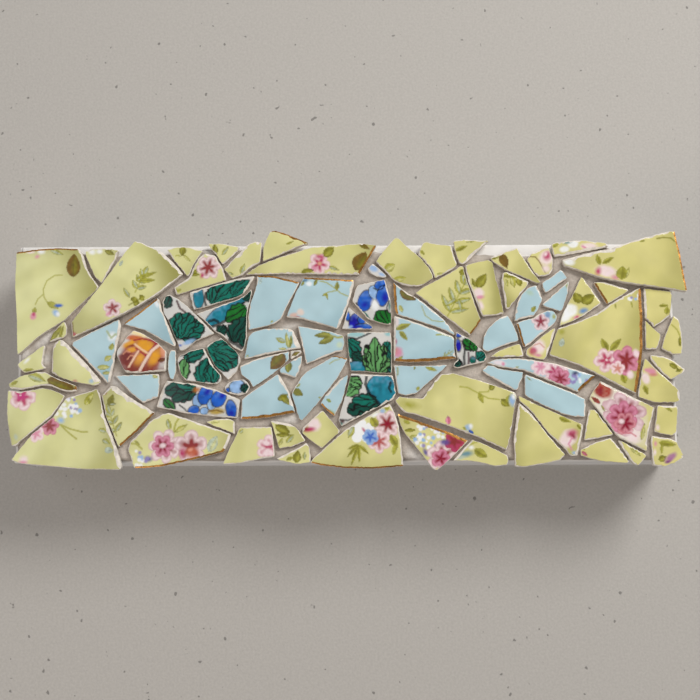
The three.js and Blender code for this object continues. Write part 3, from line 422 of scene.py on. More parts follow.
shard("border_top_long", YELLOW, [-46.2, 36.2, -29.1, 36.6, -9, 36.3, 6.5, 35.9, 10.6, 42.8, 14.6,
      49.7, 7.5, 50.7, -7.2, 49.5, -14.8, 49.1, -20.2, 47.4, -29.8, 44.5, -39.8, 40.6], bow=(90,
      0.012))
rim(6.5, 35.9, 14.6, 49.7, 1.1)
curve_shade(-4, 43, 14, 47, 0.5)
curve_shade(-30, 42, -46, 36, 0.4)
bloom(-12, 41, 5.4, 5, 60, ROSE, SHELL)
dab(-11.4, 44.4, 3.0, 1.6, -10, ROSE, 0.9)
dab(-11.8, 41.2, 1.3, 1.1, 0, 0xDDB089, 0.9)
dab(-14.2, 38.8, 2.0, 1.4, 10, PINK, 0.8)
leaf(-10, 44.6, -5, 49, 4.6, DEEP, OLIVE)
leaf(-20.4, 36.9, -14.4, 38.2, 3.2, DEEP, OLIVE)
leaf(-7.6, 39.8, -2.6, 38, 2.0, OLIVE, MIST)
leaf(4.8, 38, 9.8, 46.6, 7.4, BROWN, DEEP)
leaf(6.4, 50.6, 11.6, 47.8, 2.4, BROWN, DEEP)

shard("border_top_10", YELLOW, [14.3, 41.9, 17.5, 38.7, 20.4, 35.6, 22.9, 33, 26.8, 31, 30.6, 30.3,
      35.2, 30.5, 40.8, 34, 40.6, 35.4, 39.2, 38.4, 35.2, 43.3, 27.9, 49.7, 25.2, 52.6, 23.9, 53.2,
      22.4, 52.3, 17.5, 46.6], tilt=(0.01, 0.02), bow=(60, 0.005), lift=0.5)
curve_shade(20, 44, 30, 34, 0.35)
leaf(18.4, 37.8, 23.2, 40.6, 4.4, OLIVE, YELLOW)
leaf(22.2, 33, 28.4, 34.2, 3.2, OLIVE, YELLOW)

shard("border_top_11", YELLOW, [36.2, 50.6, 34.9, 47.8, 34, 45.4, 35.9, 43.6, 39.9, 38.6, 41.9,
      34.1, 45.2, 35.7, 50.8, 38.9, 52, 40.8, 50.2, 45.8, 49.6, 49, 40.2, 50.5, 37.9, 51.3],
      tilt=(0.01, 0.01))
leaf(34.8, 47.4, 37.2, 44.8, 1.6, OLIVE)
leaf(42.4, 35.8, 46.6, 36.6, 1.2, OLIVE, YELLOW)

shard("border_top_12", YELLOW, [50.4, 51.6, 50.8, 48.6, 53, 41.3, 54.7, 40.6, 56.5, 41.6, 61.2,
      46.4, 64.3, 49.5, 67.2, 51.5, 55.7, 52.2], tilt=(0.02, 0.01))
chip(67.2, 51.5, 56.5, 41.6, 1.0)
curve_shade(54, 47, 66, 52, 0.3)
leaf(51.2, 46.8, 57, 49.4, 2.4, OLIVE, DEEP)
leaf(56.5, 50.8, 60.5, 51.6, 1.2, OLIVE, YELLOW)

shard("border_top_13", YELLOW, [55.8, 40, 56.1, 37, 57.5, 31.2, 59.9, 25.1, 62.6, 18, 63.6, 16,
      69.5, 16.6, 73.3, 17.3, 71.6, 26.2, 69.5, 35.1, 68.4, 41.2, 66.5, 42.4, 61.5, 41.5], tilt=(0,
      0.01), bow=(-10, 0.01))
curve_shade(64, 26, 71, 26, 0.65)
leaf(61, 29.4, 65.4, 36, 4.8, DEEP, OLIVE)
leaf(60.4, 29.6, 58.6, 34, 2.0, DEEP, OLIVE)
dab(61.8, 27, 2.8, 2.6, 0, SHELL, 0.5)
dab(62.4, 24.9, 2.6, 1.2, 8, PINK, 0.8)
dab(62.8, 21.2, 1.5, 2.8, 15, SHELL, 0.8)

shard("border_top_sprig", YELLOW, [32.5, 27, 36, 29.6, 41.6, 32.6, 46, 34.9, 51.4, 38, 53.4, 39.6,
      54.9, 39.2, 55.3, 36.5, 56.7, 31.6, 58.7, 25.8, 60.6, 20, 62.4, 15.2, 62.6, 14, 57.6, 7.2,
      54, 10, 50.6, 12.9, 46.3, 16, 40.6, 20.6, 33.6, 26.4], tilt=(0, 0.01), bow=(-30, 0.003))
rim(62.6, 14, 57.6, 7.2, 0.8)
curve_shade(50, 22, 62, 12, 0.45)
sprig(47, 15.6, 62, 22, 4, OLIVE, MIST, 3.0)
leaf(51.4, 24, 46, 20.8, 2.4, OLIVE, MIST)
leaf(53.6, 35.4, 55.2, 38.4, 3.0, DEEP, OLIVE)
leaf(52.6, 24, 54, 18.4, 2.2, OLIVE, MIST)

shard("border_top_14", YELLOW, [73.2, 36.4, 72.6, 32, 73.9, 23.4, 74.2, 20, 75.2, 19.2, 80.3, 25.5,
      84.3, 30.3, 85.2, 32.2, 79.9, 34.7, 75, 36.8], tilt=(-0.03, 0))
curve_shade(79, 28, 73, 25, 0.6)
curve_shade(78, 30, 80, 20, 0.3)
leaf(73, 35, 84, 34.4, 2.6, OLIVE, DEEP)
leaf(77.2, 34.4, 78.4, 29.4, 3.0, OLIVE, YELLOW)
leaf(80.2, 34, 81.2, 29.8, 3.2, DEEP, OLIVE)
leaf(74.6, 33.4, 75.2, 29.8, 1.8, OLIVE, YELLOW)

shard("border_top_15", YELLOW, [67.4, 43.3, 69.2, 41.4, 75, 37.6, 79.9, 35.5, 88.8, 31.4, 90.6,
      31.7, 86.5, 37.4, 83.8, 41.6, 79.9, 48.2, 71.1, 45.1], tilt=(0.02, 0.02), lift=0.4)
curve_shade(76, 40, 90, 33, 0.45)
leaf(72.4, 45.4, 75.2, 38.4, 4.4, BROWN)
leaf(67.8, 43.2, 71.6, 43.8, 1.6, DEEP, OLIVE)

shard("border_top_16", YELLOW, [84.4, 42.8, 86, 39.6, 88.3, 36, 89.6, 34.7, 93.4, 35, 95, 35.8,
      96.2, 37.8, 96.4, 42.8, 94.6, 48.2, 91.5, 47.5, 86.5, 45.4], tilt=(0.03, 0))
dab(93.4, 43.4, 3.6, 4.0, -25, SHELL, 0.5)
dab(93.8, 44.2, 2.2, 2.7, -25, ROSE, 0.7)
dab(93.2, 45, 0.9, 1.2, -25, SHELL, 0.8)
stem(0.4, BROWN, 85.4, 44, 88.4, 43.8, 90.2, 41.6, 92.8, 36.4)
dab(93.2, 38.4, 2.2, 2.4, 20, SHELL, 0.8)

shard("border_top_17", YELLOW, [95.9, 49.6, 97.2, 44, 101, 44.4, 110, 46.1, 122.4, 48.6, 121.2,
      50.2, 109.6, 51.6, 103.5, 51.2, 97.6, 50.5], tilt=(0, 0.02))
chip(97.2, 44, 122.4, 48.6, 1.0)
dab(106, 49.8, 2.8, 1.8, 0, CHALK, 0.4)
dab(101.8, 47.4, 2.6, 1.7, 10, CHALK, 0.5)
dab(103.4, 50.6, 2.6, 0.9, 10, 0x7D9A9E, 0.7)
dab(113.4, 48.8, 4.6, 1.8, -3, SHELL, 0.6)
stem(0.9, PINK, 110.4, 48.8, 113.2, 46.9)
leaf(96.6, 48.4, 99.4, 50.4, 2.0, OLIVE)

shard("border_top_right", YELLOW, [100.7, 42.3, 101.4, 39.6, 109.6, 36.8, 120, 33.2, 130.8, 31,
      146.2, 28.9, 157.7, 27, 155, 44.7, 152.8, 55.3, 150, 55.2, 137, 51.8, 123, 47.2, 115.4,
      45.9], tilt=(0.012, 0.01), bow=(10, 0.0028), lift=0.9)
rim(152.8, 55.3, 157.7, 27, 0.9)
chip(100.7, 42.3, 123, 47.2, 1.4)
curve_shade(138, 44, 158, 42, 0.45)
curve_shade(118, 40, 102, 40, 0.3)
dab(103.6, 41.4, 3.4, 2.0, -10, CHALK, 0.6)
leaf(118, 39.6, 116.4, 44.6, 2.6, OLIVE, DEEP)
leaf(119, 40.2, 124.4, 43.2, 2.4, OLIVE, DEEP)
dab(120.6, 36.6, 5.4, 3.0, -14, SHELL, 0.5)
dab(117, 36.6, 1.8, 2.6, -10, ROSE, 0.9)
dab(124.8, 33.6, 2.4, 1.5, -14, PINK, 0.9)
leaf(127.6, 32.6, 128.2, 39, 5.8, OLIVE, DEEP)
leaf(129.6, 33.6, 131.2, 38.6, 1.8, OLIVE, YELLOW)
stem(0.5, DEEP, 144.4, 51.8, 147.6, 52.3, 151, 52, 152.8, 50.4)
leaf(136.4, 50.4, 139, 50.8, 1.0, OLIVE)

# Border, left edge
shard("border_left_1", YELLOW, [-136.9, 4.9, -135.2, 5.4, -130.4, 7, -129.2, 8.2, -129, 11.6,
      -129.9, 14.2, -130.9, 14.3, -133.1, 12, -135.4, 9], tilt=(-0.02, 0))
leaf(-136.6, 5.6, -131.4, 12.6, 3.2, DEEP, OLIVE)
leaf(-132.2, 6.6, -130.6, 13, 1.8, OLIVE, DEEP)

shard("border_left_2", YELLOW, [-151.6, -5.5, -150.2, -7.6, -148.2, -9.3, -140.9, -8, -138, -7.2,
      -140, -5.4, -139.4, -1.2, -138.8, 3.3, -140, 3.1, -148, -2.8], tilt=(0.03, 0.02))
leaf(-148.6, -8.4, -143.4, -7.8, 2.2, OLIVE, DEEP)
dab(-147, -3.6, 2.4, 1.0, 45, CHALK, 1.0)

shard("border_left_3", YELLOW, [-155.3, -14.4, -154.6, -16.4, -149.6, -17.2, -139.2, -15.2, -135.2,
      -15.6, -130.4, -17.6, -127.2, -18.2, -123.6, -17.8, -123.8, -15.6, -126, -14.6, -132, -12.4,
      -136, -10.6, -138.2, -9.2, -142, -9, -150, -11], bow=(0, 0.004))
rim(-123.6, -17.8, -123.8, -15.6, 1.2)
curve_shade(-142, -12, -126, -15, 0.75)
curve_shade(-146, -12, -155, -15, 0.4)
leaf(-146.4, -10.2, -137.8, -13.4, 4.0, OLIVE, MIST)
leaf(-137.4, -12.4, -124.4, -17.2, 6.4, BROWN, DEEP)
leaf(-154.2, -15, -150.6, -13, 1.8, OLIVE)

shard("border_left_4", YELLOW, [-134.4, 4, -135, 0.6, -135.4, -9.4, -132, -11.2, -126, -13.4, -120,
      -14.5, -115.4, -15.4, -113.2, -14.8, -112.7, -13.2, -120.6, -4.2, -127.4, 2.6, -130.6, 5.7,
      -132, 5.7], tilt=(0.01, 0.03), bow=(45, 0.009), lift=0.4)
chip(-130.6, 5.7, -112.7, -13.2, 1.9)
curve_shade(-126, -4, -134, -8, 0.35)
dab(-124.4, -13.6, 1.4, 1.2, 0, ROSE, 1.0)
dab(-116.8, -13.4, 1.6, 1.4, 0, SKY, 0.9)

shard("border_left_5", YELLOW, [-155.5, -17.5, -155.7, -28, -154.2, -38, -152.8, -43.2, -151, -43,
      -148.4, -40.4, -140.4, -34, -134.8, -29.4, -131, -23.6, -129.2, -20, -134.4, -17.6, -139.2,
      -16.5, -144, -17.5, -149.6, -18.1], bow=(0, 0.012))
curve_shade(-142, -24, -130, -12, 0.6)
curve_shade(-150, -30, -156, -36, 0.3)
bloom(-148.4, -20.6, 6.4, 5, 70, ROSE, SHELL)
dab(-149.2, -20.4, 3.6, 2.4, 10, 0xC2287A, 0.7)
dab(-149.4, -19.8, 0.6, 0.5, 0, SHELL, 0.8)
dab(-151, -39, 1.2, 1.8, 20, MIST, 0.9)

# Border, bottom edge from left to right
shard("border_bottom_left", YELLOW, [-153, -49.6, -148, -51.2, -130, -52.8, -120, -53.7, -103,
      -54.1, -102.2, -52.4, -104.6, -44.4, -107.6, -37, -110.6, -30, -112.9, -20.2, -114.4, -16.9,
      -120, -18.8, -128, -21, -130.4, -24, -134, -30, -143.6, -37.8], bow=(80, 0.005), tilt=(0,
      -0.01))
chip(-110.6, -30, -102.2, -52.4, 1.5)
curve_shade(-126, -30, -113, -17, 0.7)
curve_shade(-116, -34, -106, -40, 0.35)
spray(-127.6, -25, 6.6, 34, 5)
bloom(-135.6, -34, 4.6, 6, 10, WINE, PINK)
bloom(-141.6, -37.6, 4.0, 5, 40, PINK, SHELL)
dab(-130.4, -31.4, 2.2, 1.8, 0, SKY, 0.9)
stem(0.6, OLIVE, -130.6, -33.4, -126, -35.4, -120.6, -36.8, -118, -36.8)
stem(0.6, OLIVE, -130, -34, -126.6, -37.2, -123, -40)
leaf(-119.6, -24.4, -115.8, -18.4, 3.4, OLIVE, YELLOW)
leaf(-117.4, -24, -118.6, -20, 1.8, OLIVE)
leaf(-113, -35.6, -108.6, -36.8, 2.6, OLIVE, MIST)
leaf(-111, -40.2, -107.6, -42.4, 2.8, OLIVE, MIST)
leaf(-110, -45, -106, -45.4, 3.2, MIST)
dab(-147.2, -49.4, 2.6, 2.4, 30, SHELL, 0.8)
dab(-147.4, -50.6, 2.8, 1.0, 0, PINK, 0.9)

shard("border_bottom_2", YELLOW, [-111.9, -20.2, -110, -29.4, -107, -36.4, -104.2, -43.2, -103.4,
      -43.6, -94.8, -36, -87.4, -28.1, -100, -20.2, -105.6, -15.8, -107.8, -15.4], tilt=(0.02,
      0.02), bow=(40, 0.006))
rim(-104.2, -43.4, -87.4, -28.1, 1.0)
chip(-107.8, -15.4, -100, -20.2, 2.1)
chip(-100, -20.2, -87.4, -28.1, 1.4)
curve_shade(-101, -28, -111, -22, 0.5)
leaf(-108.6, -25, -106.6, -19.4, 3.4, DEEP)
sprig(-104.8, -38.6, 108, 13, 3, OLIVE, MIST, 2.6)
dab(-110.2, -19.2, 1.0, 0.7, 30, WINE, 0.9)
leaf(-108.2, -24, -105, -23.8, 1.8, DEEP, MIST)

shard("border_bottom_3", YELLOW, [-98.4, -41.2, -94, -37.2, -89.6, -32.2, -84, -28.9, -80.8, -28.2,
      -65.6, -33.4, -52.4, -38, -53.2, -40.8, -55.6, -46, -68, -49.2, -84, -52.6, -92, -53.3,
      -96.6, -53.2, -99.6, -44.4], tilt=(0.005, 0.01), bow=(20, 0.005))
rim(-97, -53.3, -84, -52.6, 0.9)
rim(-84, -52.6, -68, -49.2, 0.9)
rim(-68, -49.2, -55.6, -46, 0.8)
chip(-52.4, -38, -55.6, -46, 1.2)
curve_shade(-66, -42, -53, -40, 0.4)
leaf(-81.4, -31, -80, -36.4, 2.6, OLIVE, MIST)
stem(0.7, OLIVE, -78.6, -37.6, -77.6, -33, -76.2, -30.8)
leaf(-78, -37, -72, -33.4, 2.4, OLIVE, YELLOW)
stem(0.7, OLIVE, -99.4, -42, -95.6, -42.4, -93, -44.6)
leaf(-96.8, -40.4, -93.4, -43.4, 1.3, OLIVE)
bloom(-82.4, -43.6, 7.8, 7, 20, WINE, SHELL)
bloom(-83.4, -43.4, 5.2, 6, 0, WINE, PINK)
dab(-83.4, -43.2, 1.7, 1.3, 15, SHELL, 0.6)
bloom(-70.4, -43.8, 7.6, 5, 90, WINE, SHELL)
dab(-74.4, -46.4, 2.0, 3.4, -10, ROSE, 0.9)
dab(-70, -46.2, 3.4, 2.8, 0, 0xC06448, 0.6)
dab(-70.6, -45, 1.6, 1.0, 20, 0xDD9A84, 0.8)
dab(-90.2, -49.2, 2.5, 1.8, 0, VIOLET, 0.7)
spray(-94.4, -48.6, 4.6, 13, 9)
leaf(-62.4, -46, -58.6, -38.6, 4.6, MIST, YELLOW)

shard("border_bottom_4", YELLOW, [-64, -32.3, -62, -33.4, -52.2, -37.2, -50.6, -38, -50.8, -35,
      -51, -32, -53, -31.1, -56, -30.9, -60, -31.2], tilt=(0, 0.04))
leaf(-62, -32.8, -57, -32.2, 1.6, YELLOW, OLIVE)

shard("border_bottom_5", YELLOW, [-56, -51.7, -48, -51.2, -37.2, -49, -33, -48.5, -32.4, -48,
      -33.3, -38.4, -33.9, -34.7, -48.2, -34.9, -49.2, -36.4, -50.4, -39.4, -52.4, -43.2], bow=(85,
      0.008))
bloom(-35, -44.4, 6.0, 6, 150, ROSE, SHELL)
dab(-35.4, -46.2, 3.0, 1.9, 0, SHELL, 0.5)
dab(-36, -42.2, 2.2, 1.3, 0, SHELL, 0.6)
leaf(-48.4, -37.4, -46.8, -35.8, 2.0, OLIVE, MIST)

shard("border_bottom_6", YELLOW, [-34.2, -31.9, -33.2, -34.6, -32, -38.6, -30.2, -44.6, -24, -43.6,
      -18.2, -41, -20.4, -37.8, -22.8, -34.9, -25.6, -33.3], tilt=(-0.02, 0.01))
chip(-34.2, -31.9, -25.6, -33.3, 1.3)
curve_shade(-28, -38, -20, -34, 0.3)
leaf(-32.2, -34, -25.2, -37.4, 4.2, DEEP, OLIVE)
leaf(-31.8, -38.4, -24.6, -38.4, 2.2, DEEP, OLIVE)
leaf(-27, -42, -23.4, -38, 2.6, OLIVE, MIST)
leaf(-30.6, -43.4, -28.4, -39.6, 2.0, OLIVE, YELLOW)

shard("border_bottom_7", YELLOW, [-31.6, -49.2, -29.6, -50.1, -22, -51.7, -16.1, -50.9, -15.9, -48,
      -16.6, -44, -17.8, -42, -20.8, -44, -28, -47.4], tilt=(0.03, 0.01))
leaf(-22.6, -51.2, -21.6, -45.4, 4.2, DEEP, OLIVE)
leaf(-27, -49.8, -23.4, -48.4, 2.0, OLIVE)
leaf(-18.8, -50, -18.6, -45.8, 1.8, OLIVE, MIST)

shard("border_bottom_8", YELLOW, [-19.8, -37.6, -19.6, -35.2, -16, -32, -10.9, -27.3, -10, -27.6,
      -2.4, -36.8, -8, -42, -10.9, -44.6, -16, -40.8], tilt=(0.01, -0.02))
curve_shade(-12, -36, -4, -38, 0.3)
dab(-14.4, -33.6, 3.4, 3.6, 30, SHELL, 0.5)
dab(-16.4, -36, 3.4, 1.5, 8, ROSE, 0.8)
dab(-18.2, -35.8, 1.8, 1.1, 30, WINE, 0.8)

shard("border_bottom_9", YELLOW, [-16, -51.1, -14.8, -49.2, -12, -46.8, -8, -43.2, 0.4, -35.9, 10,
      -30.2, 20.2, -24.1, 21.2, -25.8, 23, -30, 24.4, -34.4, 25.2, -40, 26.4, -52.6, 22, -53.2, 12,
      -53.9, 0, -53.6, -10, -52.4], bow=(5, 0.004), lift=0.3)
rim(-16, -51.1, 0, -53.6, 0.8)
rim(0, -53.6, 12, -53.9, 0.8)
rim(12, -53.9, 26.4, -52.6, 0.8)
curve_shade(6, -44, 6, -56, 0.35)
bloom(19.2, -33.6, 6.4, 6, 70, WINE, SHELL)
dab(19, -33.4, 2.4, 1.6, 0, WINE, 0.8)
bloom(15.4, -41.4, 5.4, 6, 30, 0xB04850, SHELL)
bloom(7.4, -36.8, 5.8, 5, 20, CHALK, CHALK)
dab(8.6, -36.6, 0.8, 2.0, 35, ROSE, 0.8)
bloom(11.4, -39.4, 3.9, 5, 50, ROYAL, SKY)
dab(17, -27.6, 1.7, 1.3, 0, SKY, 0.8)
dab(13.6, -29.4, 2.8, 1.1, 28, CHALK, 0.8)
leaf(14.6, -35, 11.6, -30.4, 4.0, OLIVE, DEEP)
leaf(18.4, -27.4, 20, -24.8, 2.2, OLIVE)
leaf(20.6, -38.4, 24, -44.6, 3.6, OLIVE, DEEP)
leaf(21.6, -47.6, 23.4, -42, 2.4, OLIVE)
leaf(3.8, -34.6, 1.2, -40, 3.2, OLIVE, MIST)
for _x, _y in ((0.4, -49), (2.4, -53), (6.4, -51.6), (10.8, -47.4), (0.8, -45.2)):
    leaf(6, -43, _x, _y, 1.9, OLIVE, DEEP)

shard("border_bottom_10", YELLOW, [22.8, -22.8, 25.2, -26.4, 27, -28.2, 32, -29.2, 48, -34.8, 60,
      -39.4, 73.4, -45.6, 75, -40, 77.6, -24.4, 78.4, -21.4, 77.9, -19.4, 62, -13.8, 49.6, -10.3,
      43.8, -10.8, 40.4, -15, 35.4, -22, 28, -21.6, 24.6, -21], bow=(75, 0.006), lift=0.4)
curve_shade(50, -20, 46, -9, 0.4)
curve_shade(62, -26, 78, -36, 0.35)
stem(0.5, OLIVE, 52.4, -16.6, 56, -17, 60.4, -19.4, 65.4, -22, 70.6, -22.6)
stem(0.5, OLIVE, 61.4, -19.2, 65.4, -19, 66.6, -17)
leaf(66, -18, 68.4, -15.6, 3.0, DEEP, OLIVE)
leaf(61, -19.4, 63.2, -24.4, 2.6, OLIVE)
leaf(71.2, -22.6, 75, -25.8, 3.6, DEEP, OLIVE)
leaf(73.4, -24, 75.4, -20.4, 2.2, OLIVE)
dab(76.4, -23, 1.8, 3.2, 5, SKY, 0.7)
dab(77, -21.4, 1.0, 1.6, 5, CHALK, 0.9)
leaf(47.2, -34, 46.8, -29.8, 2.8, PINK, ROSE)
dab(56, -35.4, 2.0, 1.7, 40, SKY, 0.6)
dab(57.2, -34.8, 1.2, 1.5, 0, CHALK, 0.8)
leaf(56, -36.6, 58.8, -38.4, 1.7, ROYAL)
leaf(53.4, -35, 55.4, -36.6, 1.4, OLIVE)
dab(29.4, -25, 5.6, 2.6, -10, OLIVE, 1.0)

shard("border_bottom_11", YELLOW, [24, -29, 30, -31, 48, -37.8, 56, -41.4, 55, -42.4, 48, -49.4,
      41.6, -54.8, 39.8, -54, 36, -48.8, 27.4, -38.2, 25.2, -34], tilt=(0.01, -0.01), lift=0.2)
rim(24, -29, 30, -31, 1.3)
rim(30, -31, 56, -41.4, 1.3)
curve_shade(34, -40, 26, -32, 0.3)
spray(38.4, -38.6, 7.4, 40, 3)
leaf(26.6, -32, 29.8, -33.4, 2.0, OLIVE)
leaf(27, -36.6, 32.4, -36.4, 2.0, DEEP, OLIVE)
leaf(29, -40, 33, -38.6, 1.8, OLIVE, YELLOW)
bloom(44.2, -48.6, 7.6, 6, 35, WINE, SHELL)
bloom(43.4, -49.4, 4.6, 5, 0, WINE, PINK)
bloom(49.6, -41.6, 5.0, 5, 60, WINE, ROSE)
dab(45.4, -42, 2.6, 1.8, 0, VIOLET, 0.7)
dab(36.4, -46.4, 1.2, 2.2, 20, VIOLET, 0.8)

shard("border_bottom_12", YELLOW, [57.8, -40.8, 64, -43.2, 73.9, -48.2, 74.2, -50.4, 73.6, -52.4,
      68.8, -52.9, 62, -51.4, 56, -50.4, 49, -50.4], tilt=(0.01, 0.02))
leaf(58.6, -45.4, 64.8, -48.8, 4.2, OLIVE, DEEP)
dab(55, -47.4, 4.2, 1.8, 10, 0x5D8CA0, 0.8)
dab(52.6, -49, 3.0, 1.0, 15, MIST, 0.8)
stem(0.6, OLIVE, 56, -44, 58, -42.6, 60, -41.8)
dab(57.4, -44.4, 1.7, 1.3, 0, CHALK, 0.9)

shard("border_bottom_13", YELLOW, [79.4, -24, 82.8, -26.8, 86, -30.4, 92.2, -38.8, 100, -47.8,
      97.6, -50.4, 86, -52.6, 80, -53.4, 77.4, -53, 76.9, -40.5, 77.8, -34, 78.8, -28], bow=(70,
      0.005))
chip(79.4, -24, 86, -30.4, 1.6)
chip(79.4, -24, 76.9, -40.5, 1.0)
curve_shade(88, -38, 77, -36, 0.4)

shard("border_bottom_14", YELLOW, [79.3, -20.9, 82, -22.1, 88, -25.2, 100, -30.6, 108.6, -34.2,
      107.9, -38.4, 105.6, -48.2, 102.6, -48.4, 99.6, -44.6, 92.8, -38.2, 86.5, -29.8, 83.2, -26.2,
      80, -23.4], tilt=(0, -0.01), bow=(-25, 0.004))
chip(108.6, -34.2, 105.6, -48.2, 1.1)
curve_shade(96, -32, 108, -46, 0.35)
leaf(97.4, -31, 103, -33, 2.6, OLIVE, DEEP)
leaf(105.4, -34, 108.2, -36.8, 1.6, OLIVE, DEEP)
dab(101.4, -40.4, 5.2, 3.8, 50, SHELL, 0.4)
dab(103.4, -38.2, 3.4, 2.4, 10, ROSE, 0.8)
dab(103.8, -39.4, 1.4, 2.2, 30, WINE, 0.9)
stem(0.6, PINK, 103.4, -40, 101.6, -43, 103, -45.6)
dab(104.2, -47, 1.5, 1.1, 0, SKY, 0.9)

shard("border_bottom_15", YELLOW, [111.4, -27.2, 114.2, -27.4, 120.2, -35.8, 122.2, -38.9, 119.2,
      -39.5, 114, -40.6, 108.9, -41.2, 109.6, -36.8, 110.7, -31], tilt=(0.02, 0))
leaf(114.8, -28, 118.6, -33.8, 2.0, OLIVE, DEEP)

shard("border_bottom_16", YELLOW, [107.2, -45.6, 114, -42.2, 121, -40.3, 124, -44, 129, -51.2, 128,
      -51.7, 116, -50.7, 107.2, -48.2], tilt=(0, -0.03))
leaf(107.6, -46.4, 110.4, -48.6, 1.8, ROSE, PINK)
leaf(107.8, -44.6, 109.4, -45.8, 1.2, OLIVE)

shard("border_bottom_17", YELLOW, [124.2, -41.3, 126.4, -42, 134, -46.4, 136.6, -47.8, 136.8,
      -48.8, 133.2, -52.8, 131.4, -52.2, 129, -49.2], tilt=(-0.02, 0))
curve_shade(130, -46, 122, -50, 0.3)
leaf(129.6, -44.8, 134.6, -48.6, 2.0, OLIVE, YELLOW)

shard("border_bottom_right", YELLOW, [139.6, -39.4, 148, -40.6, 150.8, -42, 153.8, -48.4, 153.1,
      -49.8, 150, -51.6, 144.8, -53.2, 140, -52.8, 139.3, -42], tilt=(-0.02, 0))
leaf(142.6, -42.4, 150.8, -43.6, 3.0, OLIVE, DEEP)
leaf(143.8, -47.6, 144.2, -42, 1.6, OLIVE)
leaf(142.4, -50.4, 146, -48.8, 3.2, DEEP, OLIVE)
dab(148, -49.2, 3.6, 1.7, 35, 0xA56C9C, 0.6)
dab(146.6, -51.2, 1.9, 0.9, 20, 0x7C3F7C, 0.8)
dab(141.2, -43, 0.9, 1.5, 0, PINK, 0.9)
dab(140.8, -46.8, 0.9, 1.8, 0, SHELL, 0.8)

# Border, right end
shard("border_right_1", YELLOW, [138.2, 28.8, 138.3, 15, 141.2, 12.6, 142.2, 10.7, 146.9, 13.7,
      149.4, 15.8, 150.3, 19.7, 150.9, 26, 150.4, 27.3], tilt=(0.01, -0.02))
curve_shade(145, 22, 151, 14, 0.3)
leaf(144.8, 20.6, 149.6, 20.8, 1.8, OLIVE, DEEP)
leaf(148.2, 16.6, 148.6, 20.4, 2.8, OLIVE, DEEP)

shard("border_right_2", YELLOW, [138.3, 13.8, 140.8, 11.2, 142.6, 9.4, 145.2, 7.4, 145, 5, 143.3,
      0.6, 138.2, 0.4], tilt=(-0.03, 0.01))

shard("border_right_3", YELLOW, [151.4, 16, 150.6, 14.2, 149, 10.8, 147.5, 7.2, 145.4, 0.8, 150.4,
      -1.8, 154.6, -1.8, 155, 2, 154.8, 8.2, 153.6, 14.2], tilt=(0.02, 0.01))
stem(0.5, OLIVE, 150.4, 11.8, 152.8, 9.4, 154, 6.6)
leaf(153.8, 1.6, 154.2, 6.8, 2.0, DEEP, OLIVE)

shard("border_right_4", YELLOW, [140.2, -2.2, 146, -2.8, 150, -4.6, 155.9, -8.9, 155, -10.4, 149.4,
      -13.6, 146, -11, 142.6, -7.2, 140.4, -4.2], tilt=(0.02, 0.02))
leaf(148.8, -6.2, 152.8, -8.8, 2.6, DEEP, OLIVE)
leaf(151.6, -9.8, 154.6, -9, 1.8, DEEP, OLIVE)

shard("border_right_5", YELLOW, [137.6, -3.8, 138.8, -4.8, 142, -8.4, 148.8, -14.6, 152.9, -18.9,
      153, -23.4, 150.8, -24.1, 141.6, -24, 134.1, -21.4, 134.3, -18.6, 135.4, -13.4, 136.4, -8.2],
      tilt=(0, 0.02))
chip(152.9, -18.9, 150.8, -24.1, 1.0)
curve_shade(144, -14, 152, -22, 0.3)
dab(140.4, -9.8, 2.8, 2.0, -25, PINK, 0.7)
dab(141.2, -11.4, 2.4, 1.0, 0, 0xC88478, 0.9)
dab(137.6, -13, 2.0, 3.0, 20, SHELL, 0.5)
dab(138.4, -9.2, 1.8, 1.0, -10, PINK, 0.8)
leaf(136.8, -16.2, 138.6, -20.6, 2.6, OLIVE, DEEP)

shard("border_right_6", YELLOW, [142.8, -25.4, 151.9, -26, 151.7, -29.2, 150.7, -38.2, 149, -39.3,
      146, -38.7, 141, -37.5, 141.6, -33.2, 142.3, -29.2], tilt=(0, -0.01), bow=(0, 0.012))
leaf(145.6, -25.2, 149.4, -28.6, 1.8, OLIVE)
dab(142.4, -35.6, 1.2, 1.8, 0, SHELL, 0.8)

# Fish, head
shard("head_eye", WHITE, [-97.8, 10.2, -100.7, 7.2, -103.8, 2.6, -105, 1.2, -105.4, -1.6, -104,
      -4.4, -101.2, -9.4, -96, -9.7, -82.6, -8.8, -82.6, 0.2, -86.5, 4.2, -93.8, 8.7], bow=(60,
      0.012), lift=0.4)
dab(-95, 8.6, 6.4, 2.2, -20, 0xF2DFA8, 0.7)
dab(-93.6, -1.7, 9.9, 8.2, 0, 0x9A3208, 0.2)
dab(-97.4, 6.6, 4.8, 1.5, -4, 0xC8601E, 0.6)
dab(-92.2, 3.0, 5.0, 3.2, -24, AMBER, 0.5)
dab(-87.8, -2.6, 5.4, 2.7, 62, AMBER, 0.6)
dab(-94.9, -3.7, 4.2, 2.3, 60, AMBER, 0.7)
dab(-99.8, 3.8, 4.2, 1.5, 25, AMBER, 0.6)
dab(-98.4, 1.1, 3.0, 1.5, 10, AMBER, 0.7)
dab(-99, 2.9, 2.4, 0.7, 15, 0x7C2004, 0.8)
dab(-101.3, -2.8, 3.6, 3.8, 0, 0x6A0A04, 0.5)
dab(-84, 0.8, 1.6, 4.0, 5, 0xE09A78, 0.7)
curve_shade(-93, -3, -94, -9.4, 0.85, 0x7C1E04)
dab(-88.2, 5.6, 1.5, 0.9, -30, 0x9A1050, 0.7)
stem(0.6, 0x9A1038, -97.6, 5.4, -93.6, 6.2, -89, 5.2, -87, 4.2, -91, -0.6, -92, -1.7)
stem(0.6, 0x9A1038, -96.6, 1.8, -94.2, 0, -92, -1.7)
stem(0.35, 0xE09A78, -102.4, -1, -101, 0.4, -99.2, 0)
stem(0.35, 0xE09A78, -100.4, -3.4, -99, -1.6, -97.6, -1.8)
